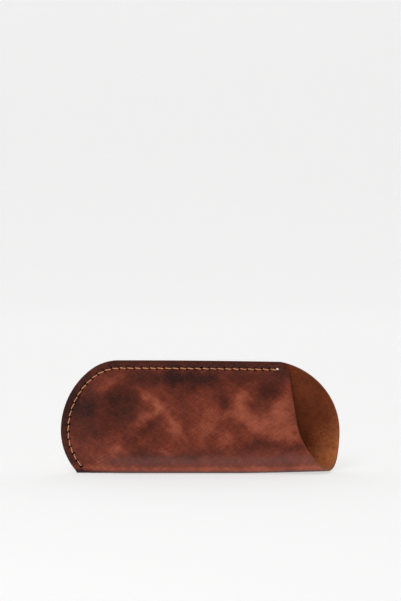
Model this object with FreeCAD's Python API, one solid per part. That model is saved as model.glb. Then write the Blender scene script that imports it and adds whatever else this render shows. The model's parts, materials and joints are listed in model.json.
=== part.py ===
"""Stitched leather glasses sleeve.

One cut of leather is folded along the bottom, glued and saddle-stitched round its left end
and along its top, and left open at the right.  The back panel runs on past the front panel's
mouth as a rounded tongue.

Frame: millimetres, X along the sleeve towards its mouth, Y from the front panel to the back
panel, Z up.  The origin is under the middle of the sleeve, on the surface that it stands on.
"""
import FreeCAD, Part
import math
import os

# ---- Sheet and thread --------------------------------------------------------------------
leather_thickness = 2.0
cement_thickness = 0.15
thread_diameter = 0.75
thread_clearance = 0.03         # to the leather
strand_gap = 0.05               # between the two strands in a hole
strand_bend = 0.8               # radius of a strand's corners, in thread diameters
bead_size = 0.65                # radius of the melted thread ends, in thread diameters

# ---- Overall size ------------------------------------------------------------------------
overall_length = 182.0          # round end to the tip of the tongue
seam_height = 73.8              # top edge above the base, at the shoulder
top_edge_fall = 1.1             # how much lower the top edge is at the mouth

# ---- Round end ---------------------------------------------------------------------------
widest_height = 28.0            # height at which the round end reaches farthest out
corner_inset = 11.3             # bottom corner, in from the farthest point
shoulder_slope = 24.0           # degrees, slope of the end arc where it would meet the top edge
shoulder_radius = 30.0

# ---- Mouth of the front panel ------------------------------------------------------------
mouth_top_inset = 34.5          # mouth edge at the seam, in from the tip of the tongue
mouth_corner_radius = 8.0
mouth_lean = 8.8                # degrees from upright
mouth_straight_end = 34.5       # height at which the straight stretch turns into the arc
mouth_arc_radius = 45.0

# ---- Tongue of the back panel ------------------------------------------------------------
tongue_tip_height = 25.7
tongue_drop = 0.2               # top of the tongue's circle, below the top edge at the shoulder
fold_end_inset = 6.2            # end of the fold, in from the tip of the tongue
fold_edge_slope = 0.5           # mouth edge where it crosses the fold, along X per unit round it

# ---- Pocket ------------------------------------------------------------------------------
fold_half_depth = 9.5           # outside, in the middle of the sleeve
mouth_half_depth = 11.0         # outside, at the mouth
fold_height_ratio = 1.12        # height of the fullest point over its half depth
fold_flatness = 2.5             # exponent of the fold's curve: 2 is round, more is flatter
fold_open_start = 4.0           # from the bottom corner to where the fold starts to open
fold_open_length = 30.0
fold_open_power = 1.6           # more opens the fold later
base_lift = 1.35                # rise of the underside at the mouth
base_lift_length = 60.0
base_lift_power = 1.3
base_flat_cut = 0.12            # worn off the underside, which leaves a flat to stand on

# ---- Seam --------------------------------------------------------------------------------
seam_margin = 4.8               # stitch line, in from the edge
glue_width = 6.6
film_outer_setback = 0.3        # glue film, in from the leather's edge
film_inner_setback = 0.6        # glue film, short of where the panels part
film_clearance = 0.03           # glue film, to the leather on each side
stitch_pitch = 4.9
first_hole_height = 4.9
last_hole_to_mouth = 6.6
hole_play = 0.3                 # hole diameter, over two thread diameters

# ---- Tongue hinge line -------------------------------------------------------------------
hinge_top_offset = 4.5          # from the mouth edge at the seam, along X
hinge_low_height = 13.0
hinge_clearance = 0.3
hinge_cover = 0.1               # the round nose reaches this much past the leather

# ---- Worked out --------------------------------------------------------------------------
Vector = FreeCAD.Vector
left_x = -overall_length / 2.0
tip_x = overall_length / 2.0
half_sheet = leather_thickness / 2.0
seam_mid_y = (leather_thickness + cement_thickness) / 2.0
seam_outer_y = seam_mid_y + half_sheet
corner_x = left_x + corner_inset
open_x = corner_x + fold_open_start
mouth_top_x = tip_x - mouth_top_inset
fold_end_x = tip_x - fold_end_inset
mouth_top_z = seam_height - top_edge_fall
tongue_radius = seam_height - tongue_drop - tongue_tip_height
hole_radius = thread_diameter + hole_play / 2.0
strand_aside = (thread_diameter + strand_gap) / 2.0
strand_reach = hole_radius - thread_diameter / 2.0 - thread_clearance
strand_ahead = math.sqrt(strand_reach ** 2 - strand_aside ** 2)
film_start = leather_thickness + cement_thickness

low_radius = (corner_inset ** 2 + widest_height ** 2) / (2.0 * corner_inset)
high_radius = (seam_height - widest_height) / math.cos(math.radians(shoulder_slope))
low_centre = (left_x + low_radius, widest_height)
high_centre = (left_x + high_radius, widest_height)
shoulder_run = math.sqrt((high_radius - shoulder_radius) ** 2
                         - (seam_height - shoulder_radius - widest_height) ** 2)
shoulder_centre = (high_centre[0] - shoulder_run, seam_height - shoulder_radius)
shoulder_angle = math.atan2(shoulder_centre[1] - high_centre[1], shoulder_run)
top_run = mouth_top_x - shoulder_centre[0]
top_radius = (top_run ** 2 + top_edge_fall ** 2) / (2.0 * top_edge_fall)
top_centre = (shoulder_centre[0], seam_height - top_radius)
tongue_centre = (tip_x - tongue_radius, tongue_tip_height)

sheet_end = 1.0                 # the sheet is lofted this far past both ends, then trimmed
station_spacing = 5.0           # between the sections that shape the sheet, at most
panel_steps = 14                # points down each panel's section
fold_steps = 8                  # points round each half of the fold's section
trim_reach = 8.0                # how far the trimming solids go past the sheet
slope_step = 0.01               # step over which a slope is measured
far = 4.0 * seam_height


def clamp(value):
    return min(1.0, max(0.0, value))


def half_depth(x):
    """Outer half depth of the fold at x."""
    opening = math.sin(0.5 * math.pi * clamp((x - open_x) / fold_open_length)) ** fold_open_power
    flare = clamp(x / fold_end_x) ** 2
    opened = fold_half_depth + (mouth_half_depth - fold_half_depth) * flare
    return seam_outer_y + (opened - seam_outer_y) * opening


def opened_share(x):
    """0 where the fold is pressed flat, 1 where it is fully open."""
    return clamp((half_depth(x) - seam_outer_y) / (fold_half_depth - seam_outer_y))


def lift(x):
    """Rise of the underside at x."""
    start = fold_end_x - base_lift_length
    return base_lift * clamp((x - start) / base_lift_length) ** base_lift_power


def fold_height(x):
    """Height of the fullest point of the section's middle line."""
    ratio = 1.0 + (fold_height_ratio - 1.0) * opened_share(x)
    return lift(x) + half_sheet + (half_depth(x) - half_sheet) * ratio


def circle_height(centre, radius, x):
    """Upper crossing of a circle in the XZ plane with the upright line at x."""
    return centre[1] + math.sqrt(radius ** 2 - (x - centre[0]) ** 2)


def seam_start(x):
    """Height at which the panels leave the glued margin."""
    x = max(x, open_x)
    shoulder_x = shoulder_centre[0] - (shoulder_radius - glue_width) * math.cos(shoulder_angle)
    if x < shoulder_x:
        return circle_height(high_centre, high_radius - glue_width, x)
    if x < shoulder_centre[0]:
        return circle_height(shoulder_centre, shoulder_radius - glue_width, x)
    return circle_height(top_centre, top_radius - glue_width, x)


def panel_y(x, z):
    """Middle line of the back panel above the fold; the front panel mirrors it."""
    low = fold_height(x)
    share = clamp((z - low) / (seam_start(x) - low))
    fullest = half_depth(x) - half_sheet
    return seam_mid_y + (fullest - seam_mid_y) * 0.5 * (1.0 + math.cos(math.pi * share))


def fold_point(x, turn):
    """Middle line of the fold: turn is -1 at the front's fullest point, 1 at the back's."""
    exponent = 2.0 + (fold_flatness - 2.0) * opened_share(x)
    angle = 0.5 * math.pi * turn
    fullest = half_depth(x) - half_sheet
    rise = fold_height(x) - lift(x) - half_sheet
    across = abs(math.sin(angle)) ** (2.0 / exponent)
    down = abs(math.cos(angle)) ** (2.0 / exponent)
    y = math.copysign(fullest * across, turn)
    return y, fold_height(x) - rise * down


def bent_line(x):
    """Middle line of the section at x between the two glued margins, front to back."""
    low = fold_height(x)
    high = seam_start(x)
    front = []
    for i in range(panel_steps):
        z = high + (low - high) * i / panel_steps
        front.append((-panel_y(x, z), z))
    half = front + [fold_point(x, -1.0 + i / fold_steps) for i in range(fold_steps)]
    return half + [fold_point(x, 0.0)] + [(-y, z) for y, z in reversed(half)]


def offset_line(points, distance):
    """Points moved sideways from the line through them; plus is outward from the fold."""
    moved = []
    for i, (y, z) in enumerate(points):
        if i in (0, len(points) - 1):
            moved.append((y + distance * math.copysign(1.0, y), z))
            continue
        before = points[i - 1]
        after = points[i + 1]
        dy = after[0] - before[0]
        dz = after[1] - before[1]
        length = math.hypot(dy, dz)
        moved.append((y + distance * dz / length, z - distance * dy / length))
    return moved


def bent_face(stations, distance):
    """One skin of the bent part of the sheet, between the margins."""
    grid = [[Vector(x, y, z) for y, z in offset_line(bent_line(x), distance)]
            for x in stations]
    surface = Part.BSplineSurface()
    surface.interpolate(grid)
    return surface.toShape()


def edge_along(face, axis, value):
    """The edge of a face that lies at the given place on an axis, 0 for X and 1 for Y."""
    def distance(edge):
        return max(abs(vertex.Point[axis] - value) for vertex in edge.Vertexes)
    return min(face.Edges, key=distance)


def face_within(edges):
    return Part.Face(Part.Wire(Part.__sortEdges__(edges)))


def blank_sheet():
    """The folded sheet as one solid, before it is cut to its outline."""
    start = left_x - sheet_end
    run = overall_length + 2.0 * sheet_end
    end = start + run
    steps = int(math.ceil(run / station_spacing))
    stations = [start + run * i / steps for i in range(steps + 1)]
    skins = [bent_face(stations, half_sheet), bent_face(stations, -half_sheet)]
    top = seam_height + sheet_end
    faces = list(skins)
    end_edges = {start: [], end: []}
    for side in (-1.0, 1.0):
        outer_y = side * seam_outer_y
        inner_y = side * (seam_outer_y - leather_thickness)
        for skin, y in zip(skins, (outer_y, inner_y)):
            seam_edge = edge_along(skin, 1, y)
            sides = []
            for x in (start, end):
                low = min(seam_edge.Vertexes, key=lambda vertex: abs(vertex.X - x)).Point
                line = Part.makeLine(low, Vector(x, y, top))
                sides.append(line)
                end_edges[x].append(line)
            rim = Part.makeLine(Vector(start, y, top), Vector(end, y, top))
            faces.append(face_within([seam_edge, rim] + sides))
        corners = [Vector(start, outer_y, top), Vector(end, outer_y, top),
                   Vector(end, inner_y, top), Vector(start, inner_y, top)]
        faces.append(Part.Face(Part.makePolygon(corners + corners[:1])))
        for x in (start, end):
            end_edges[x].append(Part.makeLine(Vector(x, outer_y, top), Vector(x, inner_y, top)))
    for x in (start, end):
        curves = [edge_along(skin, 0, x) for skin in skins]
        faces.append(face_within(curves + end_edges[x]))
    shell = Part.makeShell(faces)
    shell.sewShape()
    solid = Part.makeSolid(shell)
    if solid.Volume < 0.0:
        solid.reverse()
    return solid


def flat_point(x, z):
    return Vector(x, 0.0, z)


def spline_edge(points):
    curve = Part.BSplineCurve()
    curve.interpolate(points)
    return curve.toShape()


def arc_point(centre, radius, angle):
    """Point on a circle in the XZ plane; the angle is from +X towards +Z."""
    return flat_point(centre[0] + radius * math.cos(angle), centre[1] + radius * math.sin(angle))


def arc_edge(centre, radius, start, end):
    middle = 0.5 * (start + end)
    return Part.Arc(arc_point(centre, radius, start), arc_point(centre, radius, middle),
                    arc_point(centre, radius, end)).toShape()


def seam_side(inset, start_height, end_x):
    """Edges of the round end, the shoulder and the top edge, inset from the leather's edge."""
    radius = low_radius - inset
    start = math.pi + math.asin((widest_height - start_height) / radius)
    low = arc_edge(low_centre, radius, start, math.pi)
    shoulder_end = math.pi - shoulder_angle
    high = arc_edge(high_centre, high_radius - inset, math.pi, shoulder_end)
    shoulder = arc_edge(shoulder_centre, shoulder_radius - inset, shoulder_end, 0.5 * math.pi)
    radius = top_radius - inset
    end = math.acos((end_x - top_centre[0]) / radius)
    top = arc_edge(top_centre, radius, 0.5 * math.pi, end)
    return [low, high, shoulder, top]


def mouth_geometry():
    """Corner, straight stretch and arc of the front panel's mouth."""
    lean = math.radians(mouth_lean)
    down = (math.sin(lean), -math.cos(lean))
    run = (mouth_top_z - mouth_straight_end) / math.cos(lean)
    turn_start = (mouth_top_x + run * down[0], mouth_straight_end)
    centre = (turn_start[0] + mouth_arc_radius * math.cos(lean),
              turn_start[1] + mouth_arc_radius * math.sin(lean))
    return down, turn_start, centre


def mouth_x(z):
    """Mouth edge of the front panel on its arc."""
    centre = mouth_geometry()[2]
    return centre[0] - math.sqrt(mouth_arc_radius ** 2 - (centre[1] - z) ** 2)


def mouth_slope(z):
    centre = mouth_geometry()[2]
    return (centre[1] - z) / (centre[0] - mouth_x(z))


def tip_edge_x(z):
    """Edge of the tongue below its tip, a quarter of an ellipse down to the fold's end."""
    share = (tongue_tip_height - z) / (tongue_tip_height - base_lift)
    return fold_end_x + fold_end_inset * math.sqrt(1.0 - clamp(share) ** 2)


def tip_edge_slope(z):
    return (tip_edge_x(z + slope_step) - tip_edge_x(z - slope_step)) / (2.0 * slope_step)


def front_fold_height():
    return fold_height(mouth_x(fold_height(fold_end_x)))


def back_fold_height():
    return fold_height(tip_x)


def panel_prism(top_and_end, depth, low_end):
    """Solid that holds one panel: its outline pushed through to the given depth."""
    start = top_and_end[0].Vertexes[0].Point
    right = tip_x + trim_reach
    below = -trim_reach
    corners = [low_end, flat_point(right, low_end.z), flat_point(right, below),
               flat_point(start.x, below), start]
    lines = [Part.makeLine(a, b) for a, b in zip(corners, corners[1:])]
    wire = Part.Wire(Part.__sortEdges__(top_and_end + lines))
    return Part.Face(wire).extrude(Vector(0.0, depth, 0.0))


def front_prism():
    down, turn_start, centre = mouth_geometry()
    low_z = front_fold_height()
    corner = flat_point(mouth_top_x, circle_height(top_centre, top_radius, mouth_top_x))
    edges = seam_side(0.0, 0.0, mouth_top_x)
    edges.append(Part.makeLine(corner, flat_point(*turn_start)))
    end_angle = math.pi + math.asin((centre[1] - low_z) / mouth_arc_radius)
    edges.append(arc_edge(centre, mouth_arc_radius,
                          math.pi + math.radians(mouth_lean), end_angle))
    prism = panel_prism(edges, -far, flat_point(mouth_x(low_z), low_z))
    upright = [e for e in prism.Edges if len(e.Vertexes) == 2
               and all(flat_point(v.X, v.Z).distanceToPoint(corner) < slope_step
                       for v in e.Vertexes)]
    return prism.makeFillet(mouth_corner_radius, upright)


def seam_end_x():
    """Where the top edge runs into the arc of the tongue."""
    low, high = tongue_centre[0], tip_x
    halvings = 50
    for _ in range(halvings):
        x = 0.5 * (low + high)
        top = circle_height(top_centre, top_radius, x)
        arc = circle_height(tongue_centre, tongue_radius, x)
        low, high = (x, high) if arc > top else (low, x)
    return x


def back_prism():
    low_z = back_fold_height()
    end_x = seam_end_x()
    edges = seam_side(0.0, 0.0, end_x)
    edges.append(arc_edge(tongue_centre, tongue_radius,
                          math.acos((end_x - tongue_centre[0]) / tongue_radius), 0.0))
    steps = 6
    heights = [tongue_tip_height + (low_z - tongue_tip_height) * i / steps
               for i in range(steps + 1)]
    edges.append(spline_edge([flat_point(tip_edge_x(z), z) for z in heights]))
    return panel_prism(edges, far, flat_point(tip_edge_x(low_z), low_z))


def hermite(share, start, end, start_slope, end_slope):
    """Cubic between two values with the given slopes per unit of share."""
    square = share * share
    cube = square * share
    return ((2 * cube - 3 * square + 1) * start + (cube - 2 * square + share) * start_slope
            + (3 * square - 2 * cube) * end + (cube - square) * end_slope)


def fold_edge_cutter():
    """Solid past the mouth edge where it goes round the fold, square to the leather."""
    reach = leather_thickness
    past = trim_reach + mouth_top_inset
    steps = 12
    rings = []
    front_z = front_fold_height()
    back_z = back_fold_height()
    front_x = mouth_x(front_z)
    back_x = tip_edge_x(back_z)
    quarter = 0.5 * math.pi * mouth_half_depth
    for i in range(-steps, steps + 1):
        turn = i / steps
        if turn < 0.0:
            x = hermite(1.0 + turn, front_x, fold_end_x, mouth_slope(front_z) * quarter,
                        fold_edge_slope * quarter)
        else:
            x = hermite(turn, fold_end_x, back_x, fold_edge_slope * quarter,
                        tip_edge_slope(back_z) * quarter)
        y, z = fold_point(x, turn)
        before = fold_point(x, turn - slope_step)
        after = fold_point(x, turn + slope_step)
        dy, dz = after[0] - before[0], after[1] - before[1]
        length = math.hypot(dy, dz)
        if abs(turn) == 1.0:
            dy, dz, length = 0.0, turn, 1.0
        out = Vector(0.0, dz / length, -dy / length) * reach
        near = Vector(x, y, z)
        along = Vector(past, 0.0, 0.0)
        corners = [near - out, near + out, near + out + along, near - out + along]
        rings.append(Part.makePolygon(corners + corners[:1]))
    return Part.makeLoft(rings, True, True)


def folded_sheet():
    """The cut leather, folded, before the stitch holes and the tongue's hinge line."""
    sheet = blank_sheet()
    keep = front_prism().fuse(back_prism())
    sheet = sheet.common(keep)
    sheet = sheet.cut(fold_edge_cutter())
    below = Part.makeBox(2.0 * overall_length, far, far,
                         Vector(-overall_length, -0.5 * far, base_flat_cut - far))
    sheet = sheet.cut(below)
    sheet.translate(Vector(0.0, 0.0, -base_flat_cut))
    return sheet.removeSplitter()


def stitch_line():
    end_x = mouth_top_x - last_hole_to_mouth
    return Part.Wire(seam_side(seam_margin, first_hole_height, end_x))


def stitch_holes():
    """Centre, direction of travel and outward direction of each punched hole."""
    line = stitch_line()
    count = int(round(line.Length / stitch_pitch)) + 1
    points = line.discretize(Number=count)
    holes = []
    for i, point in enumerate(points):
        before = points[max(0, i - 1)]
        after = points[min(count - 1, i + 1)]
        travel = (after - before).normalize()
        outward = Vector(-travel.z, 0.0, travel.x)
        holes.append((point, travel, outward))
    return holes


def hole_pins(holes):
    reach = 3.0 * leather_thickness
    return [Part.makeCylinder(hole_radius, 2.0 * reach, centre + Vector(0.0, -reach, 0.0),
                              Vector(0.0, 1.0, 0.0)) for centre, _, _ in holes]


def hinge_line():
    """Two points of the line about which the tongue bends, and the direction to its tip."""
    top_x = mouth_top_x + hinge_top_offset
    top_z = min(circle_height(tongue_centre, tongue_radius, top_x),
                circle_height(top_centre, top_radius, top_x))
    low_x = tip_edge_x(hinge_low_height)
    top = Vector(top_x, panel_y(top_x, top_z), top_z - base_flat_cut)
    low = Vector(low_x, panel_y(low_x, hinge_low_height), hinge_low_height - base_flat_cut)
    along = (low - top).normalize()
    through = (Vector(0.0, 1.0, 0.0) - along * along.y).normalize()
    return top, low, along.cross(through)


def hinge_radius():
    """Radius that just holds the leather's thickness all along the hinge line."""
    top, low, _ = hinge_line()
    farthest = 0.0
    steps = 40
    for i in range(steps + 1):
        point = top + (low - top) * (i / steps)
        z = point.z + base_flat_cut
        farthest = max(farthest, abs(panel_y(point.x, z) - point.y))
    return farthest + half_sheet + hinge_cover


def tongue_side(radius, start):
    """Everything on the tongue's side of the hinge line, with a round nose about it."""
    top, low, outward = hinge_line()
    along = (low - top).normalize()
    through = along.cross(outward)
    length = (low - top).Length + 2.0 * trim_reach
    origin = top - along * trim_reach
    pin = Part.makeCylinder(radius, length, origin, along)
    corners = [origin + outward * start - through * trim_reach,
               origin + outward * start + through * trim_reach,
               origin + outward * far + through * trim_reach,
               origin + outward * far - through * trim_reach]
    slab = Part.Face(Part.makePolygon(corners + corners[:1])).extrude(along * length)
    behind = Part.makeBox(2.0 * overall_length, far, 2.0 * far,
                          Vector(0.0, 0.5 * cement_thickness, -0.5 * far))
    return slab.fuse(pin).common(behind)


def rounded_path(points, radius):
    """Straight runs through the points, with the corners turned by tangent arcs."""
    edges = []
    last = points[0]
    for before, corner, after in zip(points, points[1:], points[2:]):
        arrive = (corner - before).normalize()
        leave = (after - corner).normalize()
        turn = arrive.getAngle(leave)
        setback = radius * math.tan(0.5 * turn)
        start = corner - arrive * setback
        end = corner + leave * setback
        inward = (leave - arrive).normalize()
        middle = corner + inward * (radius / math.cos(0.5 * turn) - radius)
        edges.append(Part.makeLine(last, start))
        edges.append(Part.Arc(start, middle, end).toShape())
        last = end
    edges.append(Part.makeLine(last, points[-1]))
    return Part.Wire(edges)


def strand(holes, first_side):
    """One needle's half of the thread; first_side is -1 when it starts on the front."""
    surface = seam_outer_y + 0.5 * thread_diameter + thread_clearance
    start, travel, _ = holes[0]
    enter = start + travel * strand_ahead
    points = [enter, enter + Vector(0.0, first_side * surface, 0.0)]
    side = first_side
    for i in range(1, len(holes)):
        centre, travel, outward = holes[i]
        lean = outward * (strand_aside * side)
        points.append(centre - travel * strand_ahead + lean + Vector(0.0, side * surface, 0.0))
        if i < len(holes) - 1:
            side = -side
            points.append(centre + travel * strand_ahead + lean
                          + Vector(0.0, side * surface, 0.0))
    centre, travel, outward = holes[-1]
    bead_radius = bead_size * thread_diameter
    if side < 0.0:
        end = centre + travel * strand_ahead + outward * (strand_aside * side)
        end += Vector(0.0, surface + bead_radius, 0.0)
    else:
        end = points.pop()
    points.append(end)
    path = rounded_path(points, strand_bend * thread_diameter)
    circle = Part.Wire(Part.makeCircle(0.5 * thread_diameter, points[0],
                                       Vector(0.0, first_side, 0.0)))
    tube = path.makePipeShell([circle], True, False)
    print("strand: length", round(path.Length, 1), "volume share",
          round(tube.Volume / (math.pi * 0.25 * thread_diameter ** 2 * path.Length), 4))
    bead_height = max(end.y, seam_outer_y + bead_radius + thread_clearance)
    bead = Part.makeSphere(bead_radius, Vector(end.x, bead_height, end.z))
    return tube.fuse(bead)


def seam_cement(pins):
    """Film of contact cement between the two margins, inside the leather's edge."""
    end_x = mouth_top_x - mouth_corner_radius
    outer = seam_side(film_outer_setback, film_start, end_x)
    inner = seam_side(glue_width - film_inner_setback, film_start, end_x)
    ends = [Part.makeLine(outer[0].Vertexes[0].Point, inner[0].Vertexes[0].Point),
            Part.makeLine(outer[-1].Vertexes[-1].Point, inner[-1].Vertexes[-1].Point)]
    wire = Part.Wire(Part.__sortEdges__(outer + inner + ends))
    thickness = cement_thickness - 2.0 * film_clearance
    film = Part.Face(wire).extrude(Vector(0.0, thickness, 0.0))
    film.translate(Vector(0.0, -0.5 * thickness, -base_flat_cut))
    return film.cut(pins)


def export(name, shape):
    if len(shape.Solids) != 1 or not shape.isValid():
        print("CHECK", name, "solids", len(shape.Solids), "valid", shape.isValid())
    shape.exportStep(os.path.join("parts", name + ".step"))
    box = shape.BoundBox
    print(name, "volume", round(shape.Volume, 1), "faces", len(shape.Faces),
          "box", [round(v, 2) for v in (box.XMin, box.YMin, box.ZMin,
                                         box.XMax, box.YMax, box.ZMax)])


def main():
    os.makedirs("parts", exist_ok=True)
    holes = stitch_holes()
    down = Vector(0.0, 0.0, -base_flat_cut)
    holes = [(centre + down, travel, outward) for centre, travel, outward in holes]
    pins = hole_pins(holes)
    sheet = folded_sheet()
    nose = hinge_radius()
    top, low, outward = hinge_line()
    print("holes", len(holes), "hinge", top, low, "nose radius", round(nose, 2))
    body = sheet.cut(tongue_side(nose + hinge_clearance, 0.0)).cut(pins)
    tongue = sheet.common(tongue_side(nose, 0.0))
    export("leather_body", body)
    export("mouth_tongue", tongue)
    export("seam_cement", seam_cement(pins))
    export("thread_first_needle", strand(holes, -1.0))
    export("thread_second_needle", strand(holes, 1.0))


main()
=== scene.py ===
"""Stitched leather glasses sleeve.

One cut of oiled leather is folded along the bottom, glued and saddle-stitched round its left
end and along its top, and left open at the right, where the back panel runs on as a tongue.

The hide is laid out as its flat pattern: x runs along the sleeve, and s runs round it from the
middle of the fold, minus up the front panel and plus up the back.  Lengths are in metres.
"""
import json
import math

import bmesh
import bpy
import numpy as np
from bpy.props import FloatProperty, FloatVectorProperty, PointerProperty
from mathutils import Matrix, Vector
from mathutils.geometry import delaunay_2d_cdt
from mathutils.kdtree import KDTree


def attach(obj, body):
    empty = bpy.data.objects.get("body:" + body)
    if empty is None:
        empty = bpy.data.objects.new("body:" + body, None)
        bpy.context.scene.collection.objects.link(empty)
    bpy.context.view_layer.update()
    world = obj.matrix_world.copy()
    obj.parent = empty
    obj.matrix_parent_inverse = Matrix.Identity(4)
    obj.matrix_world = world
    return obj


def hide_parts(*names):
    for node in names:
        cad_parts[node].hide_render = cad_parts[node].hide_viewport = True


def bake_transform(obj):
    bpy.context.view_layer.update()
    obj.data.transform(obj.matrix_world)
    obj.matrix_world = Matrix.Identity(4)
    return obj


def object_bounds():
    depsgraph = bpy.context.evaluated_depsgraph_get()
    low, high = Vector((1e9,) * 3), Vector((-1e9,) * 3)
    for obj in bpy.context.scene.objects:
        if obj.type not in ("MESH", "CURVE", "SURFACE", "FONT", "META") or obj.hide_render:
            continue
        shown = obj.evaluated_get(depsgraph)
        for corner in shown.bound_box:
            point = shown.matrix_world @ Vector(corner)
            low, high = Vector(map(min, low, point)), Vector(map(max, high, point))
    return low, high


bl_info = {
    "name": "Leather glasses sleeve",
    "version": (1, 0, 0),
    "blender": (4, 5, 0),
    "location": "3D View > Sidebar > Sleeve",
    "description": "Builds a stitched leather glasses sleeve round its packed frame",
    "category": "Object",
}

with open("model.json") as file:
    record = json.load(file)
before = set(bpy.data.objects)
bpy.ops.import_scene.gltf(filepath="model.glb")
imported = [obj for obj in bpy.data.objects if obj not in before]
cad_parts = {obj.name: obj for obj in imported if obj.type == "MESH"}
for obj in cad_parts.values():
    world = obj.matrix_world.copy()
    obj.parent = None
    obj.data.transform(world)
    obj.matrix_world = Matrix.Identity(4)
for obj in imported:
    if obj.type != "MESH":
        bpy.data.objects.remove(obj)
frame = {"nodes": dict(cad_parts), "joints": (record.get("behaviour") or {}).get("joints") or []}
CAD_LOW, CAD_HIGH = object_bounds()
TONGUE_HINGE = next(joint for joint in frame["joints"] if joint["name"] == "tongue_flex")

# ---- Sheet, film and thread --------------------------------------------------------------
SHEET = 0.0020
FILM = 0.00015
FILM_PLAY = 0.000028            # how far the flesh side is pressed towards the glue film
THREAD = 0.00075
PLIES = 3
STRAND_ASIDE = 0.00040          # strands halfway through a hole, off its middle
STRAND_LEAN = 0.00020           # strands on the surface, off the line of holes
STRAND_AHEAD = 0.00082          # where a strand enters or leaves a hole, off its middle
STRAND_BEND = 0.00036           # radius of a strand's turns
STRAND_SUNK = 0.00018           # how far a strand beds into the grain
STRAND_STEP = 0.0002            # between the rings of points along a strand
STRAND_SIDES = 12
BEAD = 0.00049                  # radius of a melted thread end
BEAD_FLATNESS = 0.8             # its depth over its width
BEAD_LEVEL = 0.7                # its lowest middle above the leather, over its radius

# ---- Outline -----------------------------------------------------------------------------
WORN_BASE = 0.00012             # worn off the underside
LEFT_X = CAD_LOW.x
TIP_X = CAD_HIGH.x
SEAM_HEIGHT = CAD_HIGH.z + WORN_BASE
TOP_FALL = 0.0011
WIDEST_HEIGHT = 0.0280
CORNER_INSET = 0.0113
SHOULDER_SLOPE = math.radians(24.0)
SHOULDER_RADIUS = 0.0300
MOUTH_TOP_INSET = 0.0345
MOUTH_CORNER = 0.0080
MOUTH_LEAN = math.radians(8.8)
MOUTH_STRAIGHT_END = 0.0345
MOUTH_ARC = 0.0450
TONGUE_TIP_HEIGHT = 0.0257
TONGUE_DROP = 0.0002
FOLD_END_INSET = 0.0062
FOLD_EDGE_SLOPE = 0.5

# ---- Pocket ------------------------------------------------------------------------------
FOLD_HALF_DEPTH = 0.0095
MOUTH_HALF_DEPTH = 0.0110
FOLD_HEIGHT_RATIO = 1.12
FOLD_FLATNESS = 2.5
FOLD_OPEN_START = 0.0040
FOLD_OPEN_LENGTH = 0.0300
FOLD_OPEN_POWER = 1.6
BASE_LIFT = 0.00135
BASE_LIFT_LENGTH = 0.0600
BASE_LIFT_POWER = 1.3

# ---- Unevenness of the open panels ---------------------------------------------------------
FREE_OF_FOLD = (0.012, 0.026)   # heights over which a panel gets free of the fold
HELD_BY_SEAM = (0.050, 0.064)   # heights over which the seam takes hold of it again
FREE_OF_END = (0.012, 0.030)    # the same along x, from the round end
# Strength, phase, and radians per metre along x, z and s.
PANEL_WAVES = [
    (1.0, 0.7, 118.0, 63.0),
    (0.7, 2.1, 61.0, -141.0),
    (0.4, 0.0, 233.0, 167.0, 9.0),
]

# ---- Seam --------------------------------------------------------------------------------
SEAM_MARGIN = 0.0048
GLUE_WIDTH = 0.0066
STITCH_PITCH = 0.0049
FIRST_HOLE_HEIGHT = 0.0049
LAST_HOLE_TO_MOUTH = 0.0066
HOLE_RADIUS = 0.0009
HOLE_SKIRT = 0.00030            # width of the rolled-in rim round a hole
DIMPLE_REACH = 0.0011
GROOVE_REACH = 0.00055

# ---- Worked out --------------------------------------------------------------------------
HALF = SHEET / 2.0
SEAM_MID_Y = (SHEET + FILM) / 2.0
SEAM_OUTER_Y = SEAM_MID_Y + HALF
CORNER_X = LEFT_X + CORNER_INSET
OPEN_X = CORNER_X + FOLD_OPEN_START
MOUTH_TOP_X = TIP_X - MOUTH_TOP_INSET
FOLD_END_X = TIP_X - FOLD_END_INSET
MOUTH_TOP_Z = SEAM_HEIGHT - TOP_FALL
TONGUE_RADIUS = SEAM_HEIGHT - TONGUE_DROP - TONGUE_TIP_HEIGHT
TONGUE_CENTRE = (TIP_X - TONGUE_RADIUS, TONGUE_TIP_HEIGHT)
LOW_RADIUS = (CORNER_INSET ** 2 + WIDEST_HEIGHT ** 2) / (2.0 * CORNER_INSET)
HIGH_RADIUS = (SEAM_HEIGHT - WIDEST_HEIGHT) / math.cos(SHOULDER_SLOPE)
LOW_CENTRE = (LEFT_X + LOW_RADIUS, WIDEST_HEIGHT)
HIGH_CENTRE = (LEFT_X + HIGH_RADIUS, WIDEST_HEIGHT)
SHOULDER_RUN = math.sqrt((HIGH_RADIUS - SHOULDER_RADIUS) ** 2
                         - (SEAM_HEIGHT - SHOULDER_RADIUS - WIDEST_HEIGHT) ** 2)
SHOULDER_CENTRE = (HIGH_CENTRE[0] - SHOULDER_RUN, SEAM_HEIGHT - SHOULDER_RADIUS)
SHOULDER_ANGLE = math.atan2(SHOULDER_CENTRE[1] - HIGH_CENTRE[1], SHOULDER_RUN)
TOP_RUN = MOUTH_TOP_X - SHOULDER_CENTRE[0]
TOP_RADIUS = (TOP_RUN ** 2 + TOP_FALL ** 2) / (2.0 * TOP_FALL)
TOP_CENTRE = (SHOULDER_CENTRE[0], SEAM_HEIGHT - TOP_RADIUS)
MOUTH_DOWN = (math.sin(MOUTH_LEAN), -math.cos(MOUTH_LEAN))
MOUTH_RUN = (MOUTH_TOP_Z - MOUTH_STRAIGHT_END) / math.cos(MOUTH_LEAN)
MOUTH_TURN_X = MOUTH_TOP_X + MOUTH_RUN * MOUTH_DOWN[0]
MOUTH_CENTRE = (MOUTH_TURN_X + MOUTH_ARC * math.cos(MOUTH_LEAN),
                MOUTH_STRAIGHT_END + MOUTH_ARC * math.sin(MOUTH_LEAN))

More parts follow.
